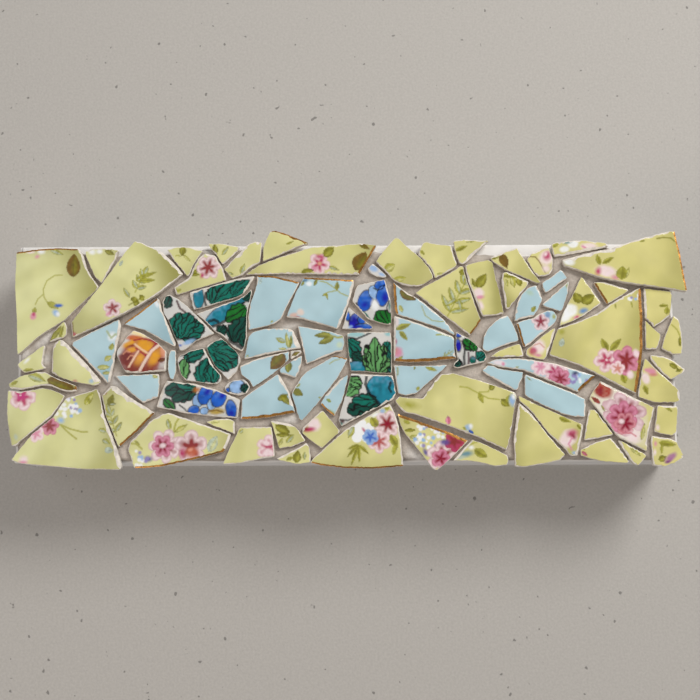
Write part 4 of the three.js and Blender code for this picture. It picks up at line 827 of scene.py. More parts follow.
stem(1.2, 0xF4DCCB, -85.4, 3.6, -89.2, 0.6, -92, -3.9, -94.9, -9.1)
stem(0.8, 0xF2CFA8, -97, 3.6, -94.1, 1.3, -91.2, -0.5)
stem(0.8, 0xF2CFB4, -95.3, 0.4, -97.3, -2.8, -99.7, -6.9)
leaf(-86.4, -4.4, -82, -3, 2.2, 0x6A0A04, BROWN)

shard("head_mouth", BLUE, [-125.8, 5, -126.4, 3.4, -120, -3.2, -109.8, -14.2, -108.6, -13.8, -107,
      -6, -105.8, 2, -104.8, 7, -103.9, 12.6, -104.8, 15.4, -115.5, 10.4], bow=(-40, 0.005))
chip(-104.8, 15.4, -108.6, -13.8, 0.9)
curve_shade(-114, 4, -106, -10, 0.4)
dab(-107.6, 7.2, 2.6, 2.8, 0, CHALK, 0.8)
stem(0.8, 0xA7B58A, -110.2, 9.8, -108.2, 6.6, -106.4, 8.4, -105, 8)
leaf(-108.6, 1, -107.2, 4.4, 2.6, OLIVE)
leaf(-111.2, -3.8, -107.6, -1.6, 2.8, OLIVE, YELLOW)
leaf(-114.4, -7, -108.2, -6.8, 2.6, OLIVE, YELLOW)
leaf(-112.2, -9.8, -107.6, -9.2, 1.7, OLIVE, YELLOW)

shard("head_brow", BLUE, [-102.6, 13.4, -101.6, 12.9, -92.6, 10.3, -84.9, 5.7, -78.8, 2.6, -78.2,
      3.8, -83, 15.1, -85.3, 20.5, -86.2, 24.2, -86.9, 25.3, -95, 18.9], tilt=(0.02, 0.02),
      bow=(40, 0.006))
rim(-102.8, 13.4, -86.9, 25.3, 0.8)
chip(-86.9, 25.3, -78.2, 3.8, 0.9)
curve_shade(-92, 16, -82, 8, 0.5)
dab(-87.4, 22.6, 1.2, 2.2, 20, CHALK, 0.9)

shard("head_gill", BLUE, [-80.4, 1, -81.4, -0.8, -81.9, -8, -80.8, -12, -79.2, -12.8, -78.1, -9,
      -78.1, -4, -78.4, 0.8])

shard("head_chin", BLUE, [-106.4, -10.8, -102.8, -14.6, -98, -19.4, -92.9, -23.5, -86.2, -20.8,
      -85.6, -15.2, -86, -10, -96, -10.5], tilt=(0.01, 0))
leaf(-88.8, -10.6, -86.2, -12, 2.2, OLIVE, YELLOW)

# Fish, leafy collar
shard("collar_1", WHITE, [-72.2, 27.9, -71.6, 25.1, -70.2, 19.8, -63.4, 21.4, -58, 23.2, -50.2,
      25.4, -46.8, 27.6, -42.9, 33.4, -42, 35.3, -51, 34, -60.3, 31.4], tilt=(0.02, 0.02))
wash(-68, 25.2, 2.5, 5.2, 2, SEA)
frond(-62.4, 22.6, -49.6, 33.6, 9.4, TEAL)
frond(-52.6, 26.4, -44, 33.2, 5.0, TEAL)
frond(-62.4, 23.6, -61.4, 31, 3.4, TEAL)
stem(1.0, INK, -64.8, 27.6, -65.2, 24, -64.4, 21.4)

shard("collar_2", WHITE, [-81.6, 27, -83.4, 26.2, -84.9, 23.5, -84.2, 18.5, -81.6, 14.3, -79.5,
      8.9, -77.4, 4.4, -76.2, 0.6, -74.6, 0.8, -72.2, 2.4, -69.2, 5.1, -60.4, 8.6, -69.2, 17.4,
      -73.4, 21.6, -78, 25.1], bow=(-45, 0.006))
chip(-83.4, 26.2, -60.4, 8.6, 0.9)
frond(-77.2, 6.4, -76.6, 18.4, 7.6, TEAL)
frond(-75, 6, -72.6, 18.6, 7.6, TEAL)
frond(-72.4, 6.6, -66.6, 15.2, 5.4, TEAL)
stem(0.6, INK, -76, 6, -70, 12, -65, 9.4)
frond(-76, 7.2, -65, 11.6, 6.6, TEAL)
frond(-75.6, 7.2, -70.6, 17.2, 5.2, TEAL)
frond(-83.4, 20.6, -81.4, 26.4, 3.4, FIR)
dab(-72.2, 4.6, 3.4, 1.3, 22, SKY, 0.6)
dab(-76.2, 3, 1.2, 0.7, 0, ROYAL, 0.8)
stem(0.9, 0x4A2A2C, -78, 23.8, -76.6, 20.4, -74.2, 18.6)
stem(0.5, INK, -79, 5.6, -76, 5.8, -72, 6.6, -68, 7.6)

shard("collar_3", WHITE, [-69, 17.8, -65, 14.6, -60, 9.4, -56.8, 7.6, -54.2, 5.4, -51.8, 2.2,
      -47.6, 0.2, -46.4, 3, -45.6, 7, -45.5, 18, -43.3, 27.5, -43.6, 29.4, -46, 26.6, -49.6, 24.5,
      -58, 21.6], tilt=(0, -0.01), bow=(-40, 0.004))
wash(-55.4, 19.4, 12.4, 3.5, 37, SEA)
stem(1.0, INK, -64, 11.4, -60, 12, -55.6, 14.2, -52.4, 17, -49.6, 21.2, -46.8, 23)
stem(1.2, INK, -63, 14.2, -60.6, 15, -58.8, 14)
frond(-45.8, 20.8, -55.4, 14.2, 6.0, GREEN)
frond(-52.4, 5, -45.4, 16.2, 7.0, FIR)
frond(-47, 2.4, -46, 9.4, 4.0, FIR)
frond(-46.8, 24, -43.6, 28.4, 4.0, FIR)
frond(-59, 8.6, -54.8, 12, 3.4, FIR)
stem(1.5, INK, -54.6, 5.4, -50.4, 3.6, -47, 1)
stem(0.7, INK, -56.4, 12.6, -53.8, 9.4, -52.4, 5)

shard("collar_4", WHITE, [-64.2, 2, -62.4, -2, -60, -6.6, -53.8, -13, -50.2, -9.4, -48.4, -4.4,
      -48.4, -2.6, -50, -0.2, -57.4, 6.6, -63.4, 3.4], tilt=(0.02, -0.02))
frond(-62.6, 3.2, -50, -6.8, 9.6, TEAL)
frond(-60.4, 0.8, -49.4, -2.4, 6.2, TEAL)
frond(-60.2, -4.4, -53.6, -9, 2.6, TEAL)

shard("collar_5", WHITE, [-77.4, -3, -77.2, -5.6, -76, -10, -73.8, -13, -62.8, -14.7, -58.8, -14.8,
      -57.2, -13.4, -57.2, -10.8, -60.6, -7.2, -64.6, 0.4, -65.4, 1.8, -71.6, 0.6, -74.4, -1, -76,
      -1.4], tilt=(0, 0.01))
frond(-74.2, -3.6, -64.6, 0.6, 4.2, TEAL)
stem(0.8, INK, -76.6, -1.6, -73, -1.4, -71.8, -4.8)
frond(-67, -14.4, -63, -2.6, 5.6, TEAL)
frond(-61.6, -14.4, -60.8, -6.2, 5.0, TEAL)
frond(-75.4, -13, -74.2, -3, 4.6, SAGE)

shard("collar_6", WHITE, [-86.8, -25.4, -84.8, -19, -82.4, -13.3, -80.2, -13.6, -68.6, -15, -60,
      -17.4, -48.3, -22.2, -49.2, -28, -49.6, -30.6, -60, -29.9, -74, -28.2, -79, -26.9], bow=(-15,
      0.006), lift=0.3)
chip(-86.8, -25.4, -82.4, -13.3, 1.2)
frond(-68.6, -16.8, -83.2, -18.2, 7.4, FIR)
frond(-68.8, -17.4, -79.6, -22.4, 5.0, FIR)
frond(-69, -16.8, -77.6, -14.6, 3.8, TEAL)
frond(-78.6, -27.2, -83.4, -21.6, 3.2, GREEN)
dab(-68.2, -17.6, 2.2, 1.6, 10, 0xB26A20, 0.8)
wash(-67.4, -22.6, 2.6, 3.2, -20, SKY)
wash(-64.2, -20, 3.2, 4.8, -20, ROYAL)
wash(-61, -24.2, 2.2, 3.0, -20, SKY)
wash(-58, -21.6, 3.2, 4.4, -28, ROYAL)
wash(-69.4, -27, 2.7, 2.1, 20, ROYAL)
wash(-64.6, -27.4, 2.0, 1.8, 20, SKY)
wash(-52.4, -26.6, 2.5, 4.4, 8, ROYAL)
dab(-56.4, -20, 1.7, 2.6, -30, NAVY, 0.8)
dab(-63.2, -18.4, 1.6, 2.4, -30, NAVY, 0.8)
dab(-52.2, -28.4, 1.8, 2.0, 0, NAVY, 0.8)
dab(-59, -27.6, 4.2, 1.7, 6, 0xB59A45, 0.5)
stem(0.5, 0x6E4E0C, -62.6, -27.6, -59, -27, -55.8, -28)
stem(0.6, INK, -76, -24.6, -73.4, -26.6, -71.8, -29.4)

shard("collar_7", WHITE, [-55.6, -16.6, -54.9, -18.2, -52.6, -19.4, -48.8, -20.2, -45.4, -19.2,
      -43.8, -16.2, -45, -14.2, -46.6, -12.8, -51.6, -13.2, -54.4, -14.8], tilt=(0, 0.03))
wash(-49.8, -16.2, 3.8, 3.0, 20, SKY)
frond(-47.4, -18.6, -44.6, -15, 3.0, FIR)
wash(-54.2, -18, 1.0, 1.5, -20, ROYAL)

# Fish, pale blue body
shard("body_1", BLUE, [-40.8, 35.6, -41, 31.2, -42.4, 26.6, -44.2, 21.2, -44.9, 15.8, -44.6, 10.2,
      -38.7, 11.4, -32.9, 13, -29.9, 15, -27.3, 20.5, -21.2, 32.2, -26.8, 33.8, -32.9, 35.2],
      tilt=(0, 0.01), bow=(20, 0.005))
rim(-40.8, 35.6, -32.9, 35.2, 0.9)
rim(-32.9, 35.2, -21.2, 32.2, 0.9)
curve_shade(-30, 24, -22, 12, 0.5)
leaf(-39.6, 31.4, -38.6, 34.6, 1.4, MIST, BLUE)
leaf(-34.8, 13.4, -32.8, 14.6, 1.0, OLIVE, YELLOW)

shard("body_2", BLUE, [-19.1, 34.4, -22.9, 27.2, -27.2, 16.1, -19.8, 15.3, -9.8, 12.4, -3.6, 10.4,
      -2.4, 12.4, 1.4, 22, 4, 31, 4.2, 33.2, -10, 34], tilt=(-0.01, 0), bow=(15, 0.006), lift=0.2)
rim(-19.1, 34.4, 4.2, 33.2, 0.8)
chip(4.2, 33.2, -3.6, 10.4, 0.9)
curve_shade(-8, 22, -2, 12, 0.45)
leaf(-20.4, 30.4, -18.6, 33.4, 1.5, DEEP, OLIVE)
dab(-18.4, 33.2, 1.6, 1.0, 0, 0x5A83A6, 0.8)
dab(-16.6, 31.4, 1.6, 1.3, 0, CHALK, 0.6)
leaf(-14.4, 30.6, -12.8, 33.8, 1.8, DEEP, OLIVE)
stem(0.4, OLIVE, -12.6, 33, -8.6, 32, -5, 29.6, -2, 27, 2, 25.4)
leaf(-3.8, 28.4, -3.6, 32.8, 2.3, OLIVE, DEEP)
stem(0.4, OLIVE, -4.2, 28.2, -7.4, 27.6, -9.8, 26.6)
leaf(-8.8, 27.2, -8, 23.8, 1.3, OLIVE)
leaf(-8.4, 26.6, -10.6, 25.8, 1.2, OLIVE)
dab(-20.6, 18.2, 2.0, 1.8, 0, 0xE4CFC2, 0.6)
dab(-24, 16.9, 2.2, 1.3, 10, 0xDDB2A0, 0.7)
dab(-22, 16, 1.6, 0.6, 0, 0xC0565A, 0.9)

shard("body_3", BLUE, [-46.6, -3.4, -45.9, 0, -44.6, 7, -42.9, 9, -38.7, 10.3, -32.9, 10.8, -26,
      10.8, -24, 9.8, -20.4, 1.6, -24, 1.2, -33.6, -0.6], bow=(80, 0.006))
chip(-26, 10.8, -20.4, 1.6, 1.5)
curve_shade(-34, 4, -44, -4, 0.4)
leaf(-26.4, 1.6, -27.4, 9.6, 1.9, OLIVE, YELLOW)
leaf(-25.6, 1.4, -24.8, 8.2, 1.9, OLIVE, DEEP)
leaf(-27.6, 4.2, -32.2, 6.4, 2.6, OLIVE, MIST)
leaf(-27, 1.2, -31, 1.4, 1.6, OLIVE, YELLOW)
leaf(-46, -2, -44.2, -1.8, 0.9, OLIVE, YELLOW)

shard("body_4", BLUE, [-22, 12, -20.8, 7, -18.6, -3, -18, -5.8, -12, -3.4, -4.2, -0.2, -1.4, 0.2,
      -0.4, 4, -0.8, 7.2, -6.4, 9.2], tilt=(0.01, 0.01))
curve_shade(-12, 2, -20, -4, 0.4)
leaf(-6.4, 7.8, -14.6, 7.4, 3.0, DEEP, OLIVE)
leaf(-5.2, 6.4, -12.6, 3.6, 3.2, DEEP, OLIVE)
stem(0.8, OLIVE, -7.4, 7.6, -3.4, 6.4, -0.6, 7)
dab(-2.6, 3, 1.8, 1.6, 20, 0xC6D8BC, 0.6)

shard("body_5", BLUE, [-48.4, -6.4, -48.4, -8, -47.8, -10.6, -44.2, -13.2, -42.4, -16.5, -36,
      -12.2, -30.9, -8.2, -26, -3.6, -25.9, 0.1, -28, -0.3, -40, -3], tilt=(-0.01, 0.01))
leaf(-28, -1.2, -34.4, -8.2, 7.0, BROWN, DEEP)

shard("body_6", BLUE, [-30.2, -8.2, -29.9, -9.8, -23, -12.2, -21.4, -9.6, -20.2, -5.2, -19.9, -1.8,
      -24.4, -4.2], tilt=(0.02, 0))
leaf(-26, -4.6, -26.4, -10, 3.8, DEEP, OLIVE)

shard("body_7", WHITE, [-25.2, 0.4, -25.2, -3.4, -24.6, -3.3, -20.2, -0.6, -20.3, 0.6])
leaf(-20.6, -0.6, -25, -2.6, 3.4, BROWN, DEEP)

shard("body_8", BLUE, [-47.5, -22.1, -47.7, -27, -48, -31, -40, -30.8, -34, -30.1, -23.1, -28.2,
      -24.4, -23.2, -26, -18.4, -28.4, -14, -30.6, -10.6, -31.6, -10.8, -44.8, -19.8], tilt=(0,
      0.01), bow=(20, 0.006))
rim(-48, -31, -34, -30.1, 1.3)
rim(-34, -30.1, -23.1, -28.2, 1.3)
chip(-30.6, -10.6, -24.4, -23.2, 1.0)
curve_shade(-34, -22, -24, -28, 0.5)
leaf(-31, -22.4, -26, -19.8, 3.4, DEEP, OLIVE)
leaf(-29.4, -20.4, -24.8, -24.8, 3.4, DEEP, OLIVE)

shard("body_9", BLUE, [-20, -32, -21.2, -30.8, -23.4, -23.6, -24.6, -20, -24.2, -18.2, -20.4, -12,
      -18, -9.4, -4.8, -2, 1.1, -3.5, -3.4, -12, -12.2, -23.2, -16, -27.6], tilt=(0, 0.01),
      bow=(-35, 0.005))
rim(-4.8, -2, 1.1, -3.5, 0.6)
curve_shade(-12, -14, -20, -30, 0.4)
leaf(-24, -17.6, -19.4, -20.4, 3.8, DEEP)
leaf(-22.4, -16.4, -20.4, -14.6, 1.3, OLIVE)
stem(0.3, OLIVE, -7.4, -5.8, -5, -4.2, -2.6, -3.6)
leaf(-12.4, -21.4, -10.8, -21, 1.0, OLIVE, YELLOW)

shard("body_10", BLUE, [-11.4, -24, -9, -20.1, -2.6, -13, 1.2, -10.8, 1, -13, -1.4, -22.6, -3.8,
      -27.4, -5, -29.8, -8.6, -27], tilt=(0.02, 0))
rim(-11.4, -24, -5, -29.8, 0.8)
leaf(-8.6, -22, -6.4, -23.6, 1.7, OLIVE, SAGE)
dab(-6.4, -28.4, 3.4, 1.3, -35, OLIVE, 0.8)

# Fish, leafy band behind the body
shard("band_top", WHITE, [10.4, 38.6, 12.8, 41.2, 16.6, 37.9, 19.4, 35, 18.2, 34.4, 14.6, 35, 11.6,
      36.6], tilt=(0, 0.02))
dab(13.2, 38.8, 2.6, 1.8, -30, SKY, 0.6)
dab(17, 36, 2, 1.0, -20, SKY, 0.8)

shard("band_1", WHITE, [6, 31, 5, 29.4, 3.3, 23.5, 7.5, 18.7, 10.6, 15.1, 17.5, 12.9, 21.2, 12.4,
      21.4, 15.8, 20.9, 24.3, 18.5, 33.2, 17.4, 33.4], tilt=(0.02, 0.01))
wash(9.4, 23.6, 3.4, 5.2, -20, ROYAL)
wash(13.6, 27.4, 2.6, 3.4, 30, SKY)
wash(16.8, 31.2, 3.2, 2.4, 20, ROYAL)
wash(17.4, 25.8, 3.0, 4.8, -8, ROYAL)
dab(18.4, 25, 1.8, 2.8, 0, NAVY, 0.7)
dab(9, 21.6, 2.2, 2.2, 0, NAVY, 0.9)
dab(13.8, 21.6, 2.0, 3.4, 10, CHALK, 0.7)
stem(0.7, INK, 5, 22.4, 7.4, 18, 11, 15.4)
stem(0.45, INK, 13, 29.6, 15, 28.4, 17.4, 29.2, 18.2, 31)
frond(20.2, 11.6, 14.6, 18.8, 6.6, GREEN)
leaf(7.2, 18.8, 11.6, 14.4, 2.4, TEAL)
dab(20.8, 21, 1.2, 2.6, 0, TEAL, 0.9)
stem(0.5, INK, 20.4, 23.4, 19.2, 20.4, 19.8, 18)

shard("band_2", WHITE, [1.6, 20.8, 0.7, 18.4, -0.3, 13.9, -1.5, 10.5, 12.4, 10.3, 12.7, 11.4, 7,
      15.8, 3.7, 18.7], tilt=(0.01, 0.03))
wash(4.2, 14, 2.6, 3.6, -18, NAVY)
wash(7.6, 14.6, 1.9, 1.9, 20, ROYAL)
wash(9, 11.2, 4.2, 1.6, -6, ROYAL)
wash(1.0, 16.4, 1.3, 2.4, 10, ROYAL)
dab(5.6, 11.2, 2.4, 1.0, 0, NAVY, 0.7)
dab(2.4, 11.4, 1.4, 0.9, 20, SKY, 0.8)

shard("band_3", WHITE, [0.9, 8.6, 1.1, 3, 2.5, -9.1, 8, -9.2, 16, -10.1, 21.3, -10.2, 21.4, 2,
      21.2, 8.7, 11.4, 9], tilt=(0, -0.01))
dab(4.6, 8, 5.2, 1.5, 0, 0x8FC2C6, 0.6)
dab(20, 8, 2, 1.2, 0, 0x8FC2C6, 0.6)
stem(0.8, INK, 0.6, 6.6, 5.4, 5.8, 9.6, 7.6, 12, 8.8)
frond(0.6, 5.2, 5.8, -3.6, 6.4, TEAL)
frond(3.4, -1, 8.2, -4.8, 3.6, FIR)
frond(21.4, -4.4, 18.6, 4.6, 5.6, TEAL)
frond(19.4, -10.6, 21.4, -4.2, 4.2, TEAL)
wash(6.2, -8.4, 7.2, 3.7, -6, SEA)
frond(14.2, -9.6, 8.4, -1.6, 4.6, SAGE)
frond(14.2, -9.6, 20.4, -3.4, 4.6, SAGE)
frond(14, -9, 9.6, 3.2, 4.4, SAGE)
frond(14, -9, 18.2, 3.0, 4.4, SAGE)
frond(13.9, -10.4, 13.6, 6.6, 5.0, SAGE)
stem(0.7, INK, 14.6, -11.2, 13.8, -6, 13.6, 0)

shard("band_4", WHITE, [2.6, -10.3, 2, -13.2, 0.4, -19.6, -1.8, -26.4, -3.2, -31.6, -1.8, -34.6, 6,
      -30.4, 22, -22.2, 23.2, -19.6, 22.5, -15.2, 21.8, -11.2, 10, -10.8], bow=(60, 0.005))
frond(-0.4, -19.8, 6.6, -11.8, 6.4, SAGE)
frond(1.6, -13, 7.8, -15.6, 3.6, SAGE)
wash(16.8, -17.8, 6.8, 7.6, 14, SEA)
frond(14.8, -23.4, 0.6, -27.8, 7.4, FIR)
frond(14.2, -22.6, 3, -22.6, 4.2, TEAL)
stem(1.1, INK, 9.8, -11.6, 9.2, -15.4, 11.4, -20.2, 16.8, -25.4)
stem(1.0, INK, 20.8, -14.6, 20, -17, 21, -18.8)
stem(0.7, INK, -2.6, -31.6, 1.4, -31.8, 5.6, -30.6)
dab(-1.4, -32.4, 1.4, 1.0, 20, 0x4A2A2C, 0.6)
dab(-2, -33.4, 1.2, 0.9, 0, TEAL, 0.9)

# Fish, rear of the body
shard("rear_1", BLUE, [22.4, 32.2, 22.6, 27.4, 23, 20, 23.9, 17.3, 34.5, 13.8, 46, 9.8, 50.4, 7.3,
      50.2, 8.6, 45.4, 14.8, 36.4, 22.5, 26.8, 28.6], tilt=(0, 0.02), bow=(50, 0.006))
rim(22.4, 32.2, 22.6, 27.4, 1.2)
rim(22.6, 27.4, 23.4, 17.5, 1.2)
curve_shade(34, 22, 24, 32, 0.4)
leaf(25.4, 28.2, 32.8, 23.8, 5.2, BROWN, DEEP)
leaf(25.2, 21.4, 26.6, 17.8, 2.2, OLIVE, YELLOW)
stem(0.3, OLIVE, 35.4, 21, 37, 16.6, 40.4, 14, 45.8, 13.6)

shard("rear_2", BLUE, [22.6, 16.3, 22.4, 2, 22.4, -4.5, 30, -5.1, 38, -4.9, 44, -4.1, 51.2, -3.5,
      50.4, -1, 50.1, 2, 50.2, 5.8, 49.3, 6.8, 34.5, 12.5, 24.1, 16], bow=(10, 0.008), lift=0.2)
rim(22.4, -4.5, 38, -4.9, 1.4)
rim(38, -4.9, 51.2, -3.5, 1.4)
curve_shade(36, 4, 40, -5, 0.45)
leaf(22.8, 10.2, 30.6, 12.6, 3.0, OLIVE, DEEP)
leaf(25, 9.4, 28.8, 4.8, 2.6, OLIVE, DEEP)
dab(23.6, 13.4, 1.6, 2.8, 0, 0xE9D8D6, 0.7)
dab(23.2, 4.4, 1.0, 1.9, 0, ROSE, 0.9)
dab(24.4, -0.8, 2.6, 3.0, 10, PINK, 0.6)
dab(23.4, 0.4, 1.4, 2.2, 0, 0xCF8C8E, 0.7)
leaf(24.4, -4.2, 26.4, -2.4, 1.8, OLIVE)
stem(0.6, OLIVE, 42, 7.4, 45, 7.6, 49.4, 6.6)
sprig(44.6, -3, 30, 5.4, 2, OLIVE, BLUE, 1.0)

shard("rear_3", BLUE, [22.4, -6.5, 22.9, -11, 23.6, -15.6, 24.3, -19.6, 28, -20.4, 32.4, -19.6, 40,
      -13, 47.2, -6.5, 40, -6.8, 30, -7], tilt=(0, 0.02), bow=(20, 0.006))
leaf(24, -6.8, 23.8, -12.6, 1.4, OLIVE, BLUE)
leaf(36.8, -7.6, 42.6, -9.2, 2.0, OLIVE)
leaf(32, -7.2, 31.6, -8.8, 1.0, OLIVE)
leaf(33, -18.4, 33.8, -16.2, 1.9, OLIVE)

# Fish, tail root and forked tail
shard("tail_root", WHITE, [51, 8.8, 50.9, 2, 51.3, -2.2, 52, -4, 50, -5.6, 49.8, -7.4, 52, -8,
      57.2, -6.6, 63.8, -5.2, 65, -3.6, 64.4, -1.2, 60.6, 2.2, 57.3, 5.4, 54.4, 6.9], bow=(70,
      0.012), lift=0.5)
wash(52.2, 7.2, 1.4, 1.2, 0, 0x1C46B0)
wash(52, 2.6, 1.3, 3.2, 4, NAVY)
frond(59.4, 0.4, 54.6, 5.6, 3.8, GREEN)
frond(59.8, -0.2, 58.2, 4.6, 2.6, GREEN)
frond(60.8, -4.4, 65, -1, 4.4, TEAL)
wash(58.6, -4.4, 1.5, 1.7, 0, TEAL)
frond(49.6, -7.4, 53.4, -4.6, 3.0, FIR)
stem(0.9, INK, 53.8, 4.4, 55, 0.6, 54.6, -3, 54.8, -6.8)
stem(0.9, INK, 51.8, -3.8, 53.6, -5.8, 54.2, -7.6)
stem(0.9, 0x5A4048, 56.6, -1, 56.8, -4, 56.4, -6.8)

shard("tail_1", BLUE, [74.6, 16.4, 72.6, 15.8, 68.8, 13.3, 65.7, 10.1, 63.9, 6.6, 63.3, 2, 63.6,
      0.6, 65.6, -0.4, 70, 1.3, 79.8, 4.7, 79.2, 8, 77.2, 12.6, 75.3, 16], tilt=(0, 0.01), bow=(30,
      0.006))
dab(74.6, 2.8, 2.8, 0.7, 20, 0xD9BFC2, 0.8)

shard("tail_2", YELLOW, [66.8, -2.8, 72, -2.9, 82, -2.6, 81.4, 0.8, 80.4, 3.2, 76, 2, 70.4, -0.2],
      tilt=(0, -0.02))
dab(77, 1.2, 0.6, 0.4, 0, OLIVE, 0.8)

shard("tail_3", BLUE, [79, 12.8, 80.3, 8.2, 81.6, 3, 82.4, 1.6, 84.9, 3, 88.4, 6.2, 95.3, 11.4,
      96.9, 13.3, 97.9, 15.8, 96.4, 18.2, 93.8, 18.7, 89.2, 16.9, 86.9, 15.1, 82.6, 14.2],
      tilt=(-0.02, -0.02))
rim(79, 12.8, 82.4, 1.6, 1.0)
bloom(90.2, 13.4, 4.4, 5, 20, WINE, SHELL)
dab(93.6, 16.6, 1.5, 1.9, 0, 0x7592B8, 0.6)
dab(96.4, 15.8, 1.1, 1.5, 0, OLIVE, 0.8)

shard("tail_4", BLUE, [85.1, 29.6, 81.6, 26.2, 79.7, 22.6, 78.5, 16.6, 78.2, 13.7, 82.6, 15.1,
      86.8, 15.9, 88.9, 18.8, 91.2, 24.2, 90.2, 27.4, 88.5, 30.6], tilt=(-0.01, -0.02))
dab(85.4, 27, 2.6, 1.5, -20, 0xAFC8B4, 0.9)
leaf(86, 18.2, 88, 20.6, 2.4, OLIVE, DEEP)

shard("tail_5", BLUE, [91.3, 31.6, 91.7, 28.9, 92.8, 27, 94.2, 27.6, 102.9, 33.9, 100.8, 37, 100,
      37.8, 95.3, 34.2], tilt=(0.02, -0.02))

shard("tail_6", BLUE, [91.1, 21.6, 92.2, 20.6, 96.1, 19.5, 99.4, 18.2, 100.2, 18.9, 102.2, 24.3,
      103.2, 28.2, 103.6, 32.4, 100.4, 29.6], tilt=(0.01, 0.02))
dab(102.6, 30.4, 0.9, 1.6, 0, OLIVE, 0.8)

shard("tail_7", YELLOW, [98.9, 11.4, 103.8, 13.2, 109.6, 15.9, 117, 20.9, 118.2, 22.2, 115.2, 26.6,
      110.6, 33.4, 109.4, 34.4, 107.5, 30.6, 104.9, 25.2, 101, 18.2, 99.6, 14.6], tilt=(0, -0.02))
leaf(109, 22.2, 105.6, 27, 4.6, DEEP, OLIVE)
leaf(109.4, 22, 115.4, 25.8, 5.0, DEEP, OLIVE)
dab(103.6, 18.6, 4.0, 3.2, 20, CHALK, 0.4)
dab(101.8, 15.4, 3.4, 2.2, 30, CHALK, 0.6)
dab(110, 18.4, 2.6, 1.7, 20, 0x5C8BC4, 0.8)
dab(106.6, 15.4, 2.2, 0.9, 25, PINK, 0.8)
dab(107, 15.6, 0.8, 0.5, 0, ROSE, 0.9)

shard("tail_8", YELLOW, [95.9, 10.2, 91.5, 7.2, 88.4, 4.6, 85.8, 2.2, 83.6, 0.6, 83, -1.8, 84.4,
      -2.9, 91, -4.2, 91.6, -4, 93.2, -1.2, 96, 6.6, 97, 10.2], tilt=(-0.03, 0))
chip(93.2, -1.2, 97, 10.2, 0.7)
dab(89, 1.8, 3.4, 4.0, -20, SHELL, 0.5)
dab(86.4, -0.2, 2.4, 2.2, 20, ROSE, 0.7)
dab(88.4, -2.2, 2.4, 1.0, -10, PINK, 0.8)
stem(0.4, 0xC9907A, 86.6, 2.4, 89.6, 3.4, 91.6, 1.4)

shard("tail_9", BLUE, [65, -5.7, 66.6, -6, 70.4, -7.3, 82, -9, 92, -13.3, 106.6, -19.2, 110.6,
      -15.6, 114.8, -11.9, 106, -9, 96, -6, 84, -4.1, 78, -3.6, 72, -3.7, 68, -4.4], bow=(-20,
      0.002))
rim(106.6, -19.2, 114.8, -11.9, 1.3)
dab(70.6, -5.6, 3.6, 1.6, -8, 0xE8DDE2, 0.6)
dab(72.6, -6.2, 1.0, 1.2, -8, PINK, 0.8)
leaf(78.2, -7.8, 79.8, -7.6, 1.1, OLIVE)
bloom(89.6, -7.6, 4.6, 6, 0, PINK, SHELL)
bloom(96.4, -10.4, 6.4, 7, 15, ROSE, SHELL)
bloom(98.6, -13, 5.2, 6, 40, WINE, PINK)
dab(92.8, -7.6, 1.4, 1.8, 0, SHELL, 0.8)
spray(107.4, -13, 4.6, 15, 12)
dab(105.6, -10.6, 1.9, 1.3, 0, 0x353060, 0.8)

shard("tail_10", BLUE, [62.9, -9.1, 64.2, -10.4, 74, -16.2, 77.9, -18.2, 79.2, -17.8, 79.8, -15.2,
      81.3, -12.6, 81.7, -9.9, 76, -9.2, 70.2, -8.2, 68, -7, 65.2, -6.8], tilt=(0, 0.01))
curve_shade(96, -16, 110, -22, 0.4, 0x85823A)

shard("tail_11", BLUE, [82.7, -10.9, 82.3, -14, 82.3, -20.2, 84, -21.6, 90, -24.8, 100, -29.3, 104,
      -30.2, 109.6, -30.6, 109.9, -24, 109.6, -22.2, 106, -20.3, 90, -13.8], tilt=(0, 0.01),
      bow=(65, 0.01))
leaf(83.4, -12.4, 85.4, -14, 0.9, OLIVE)

shard("tail_centre", YELLOW, [98.2, 10.2, 96.9, 7.4, 95.4, 3, 94, -2.1, 100, -4.1, 108, -7, 121.6,
      -14.2, 132.9, -20.1, 134.3, -14, 135.6, -7, 136.5, 0, 137.1, 14, 136.7, 29.2, 134.6, 28.3,
      125, 23, 115.4, 16.6, 107.7, 13.4, 103.8, 12], bow=(5, 0.003), lift=0.2)
rim(136.9, 29.2, 137.1, 14, 1.5)
rim(137.1, 14, 136.5, 0, 1.5)
rim(136.5, 0, 132.9, -20.1, 1.5)
curve_shade(124, 8, 138, 6, 0.5)
curve_shade(112, 6, 98, 2, 0.35)
leaf(120.6, -0.4, 117.6, 5.6, 3.4, OLIVE, DEEP)
leaf(121.6, -0.2, 127, 5.4, 3.2, OLIVE, DEEP)
leaf(127.2, -11, 128.2, -15.6, 3.6, OLIVE, DEEP)
bloom(119.8, -4.8, 5.8, 5, 40, ROSE, SHELL)
bloom(129, -4.8, 7.0, 6, 25, WINE, PINK)
dab(133.6, -1.6, 1.7, 2.4, 10, SHELL, 0.6)
dab(130.6, -11.4, 1.8, 2.2, 10, SHELL, 0.6)
bloom(124.8, -8.4, 3.4, 5, 10, 0xC98474, SHELL)
dab(119.9, -4.6, 0.8, 0.7, 0, SHELL, 0.7)
spray(133.6, 26, 3.6, 9, 21)
dab(99.8, 8.6, 1.8, 1.7, 0, OLIVE, 0.9)
leaf(99, 1.6, 100.4, 5.8, 2.8, MIST)
leaf(132, 22.8, 132.8, 18.6, 0.9, OLIVE)
leaf(124.6, 22, 124.8, 18.4, 0.8, OLIVE)

shard("tail_12", YELLOW, [115, 31.7, 118.4, 25.8, 121.1, 21.5, 125.4, 24, 130, 27, 131.2, 28.2,
      124.6, 30.4, 120, 31.8], tilt=(0, 0.03))
rim(114.6, 32, 121.1, 21.5, 1.0)
curve_shade(112, -8, 80, -18, 0.3, 0x83A8B4)

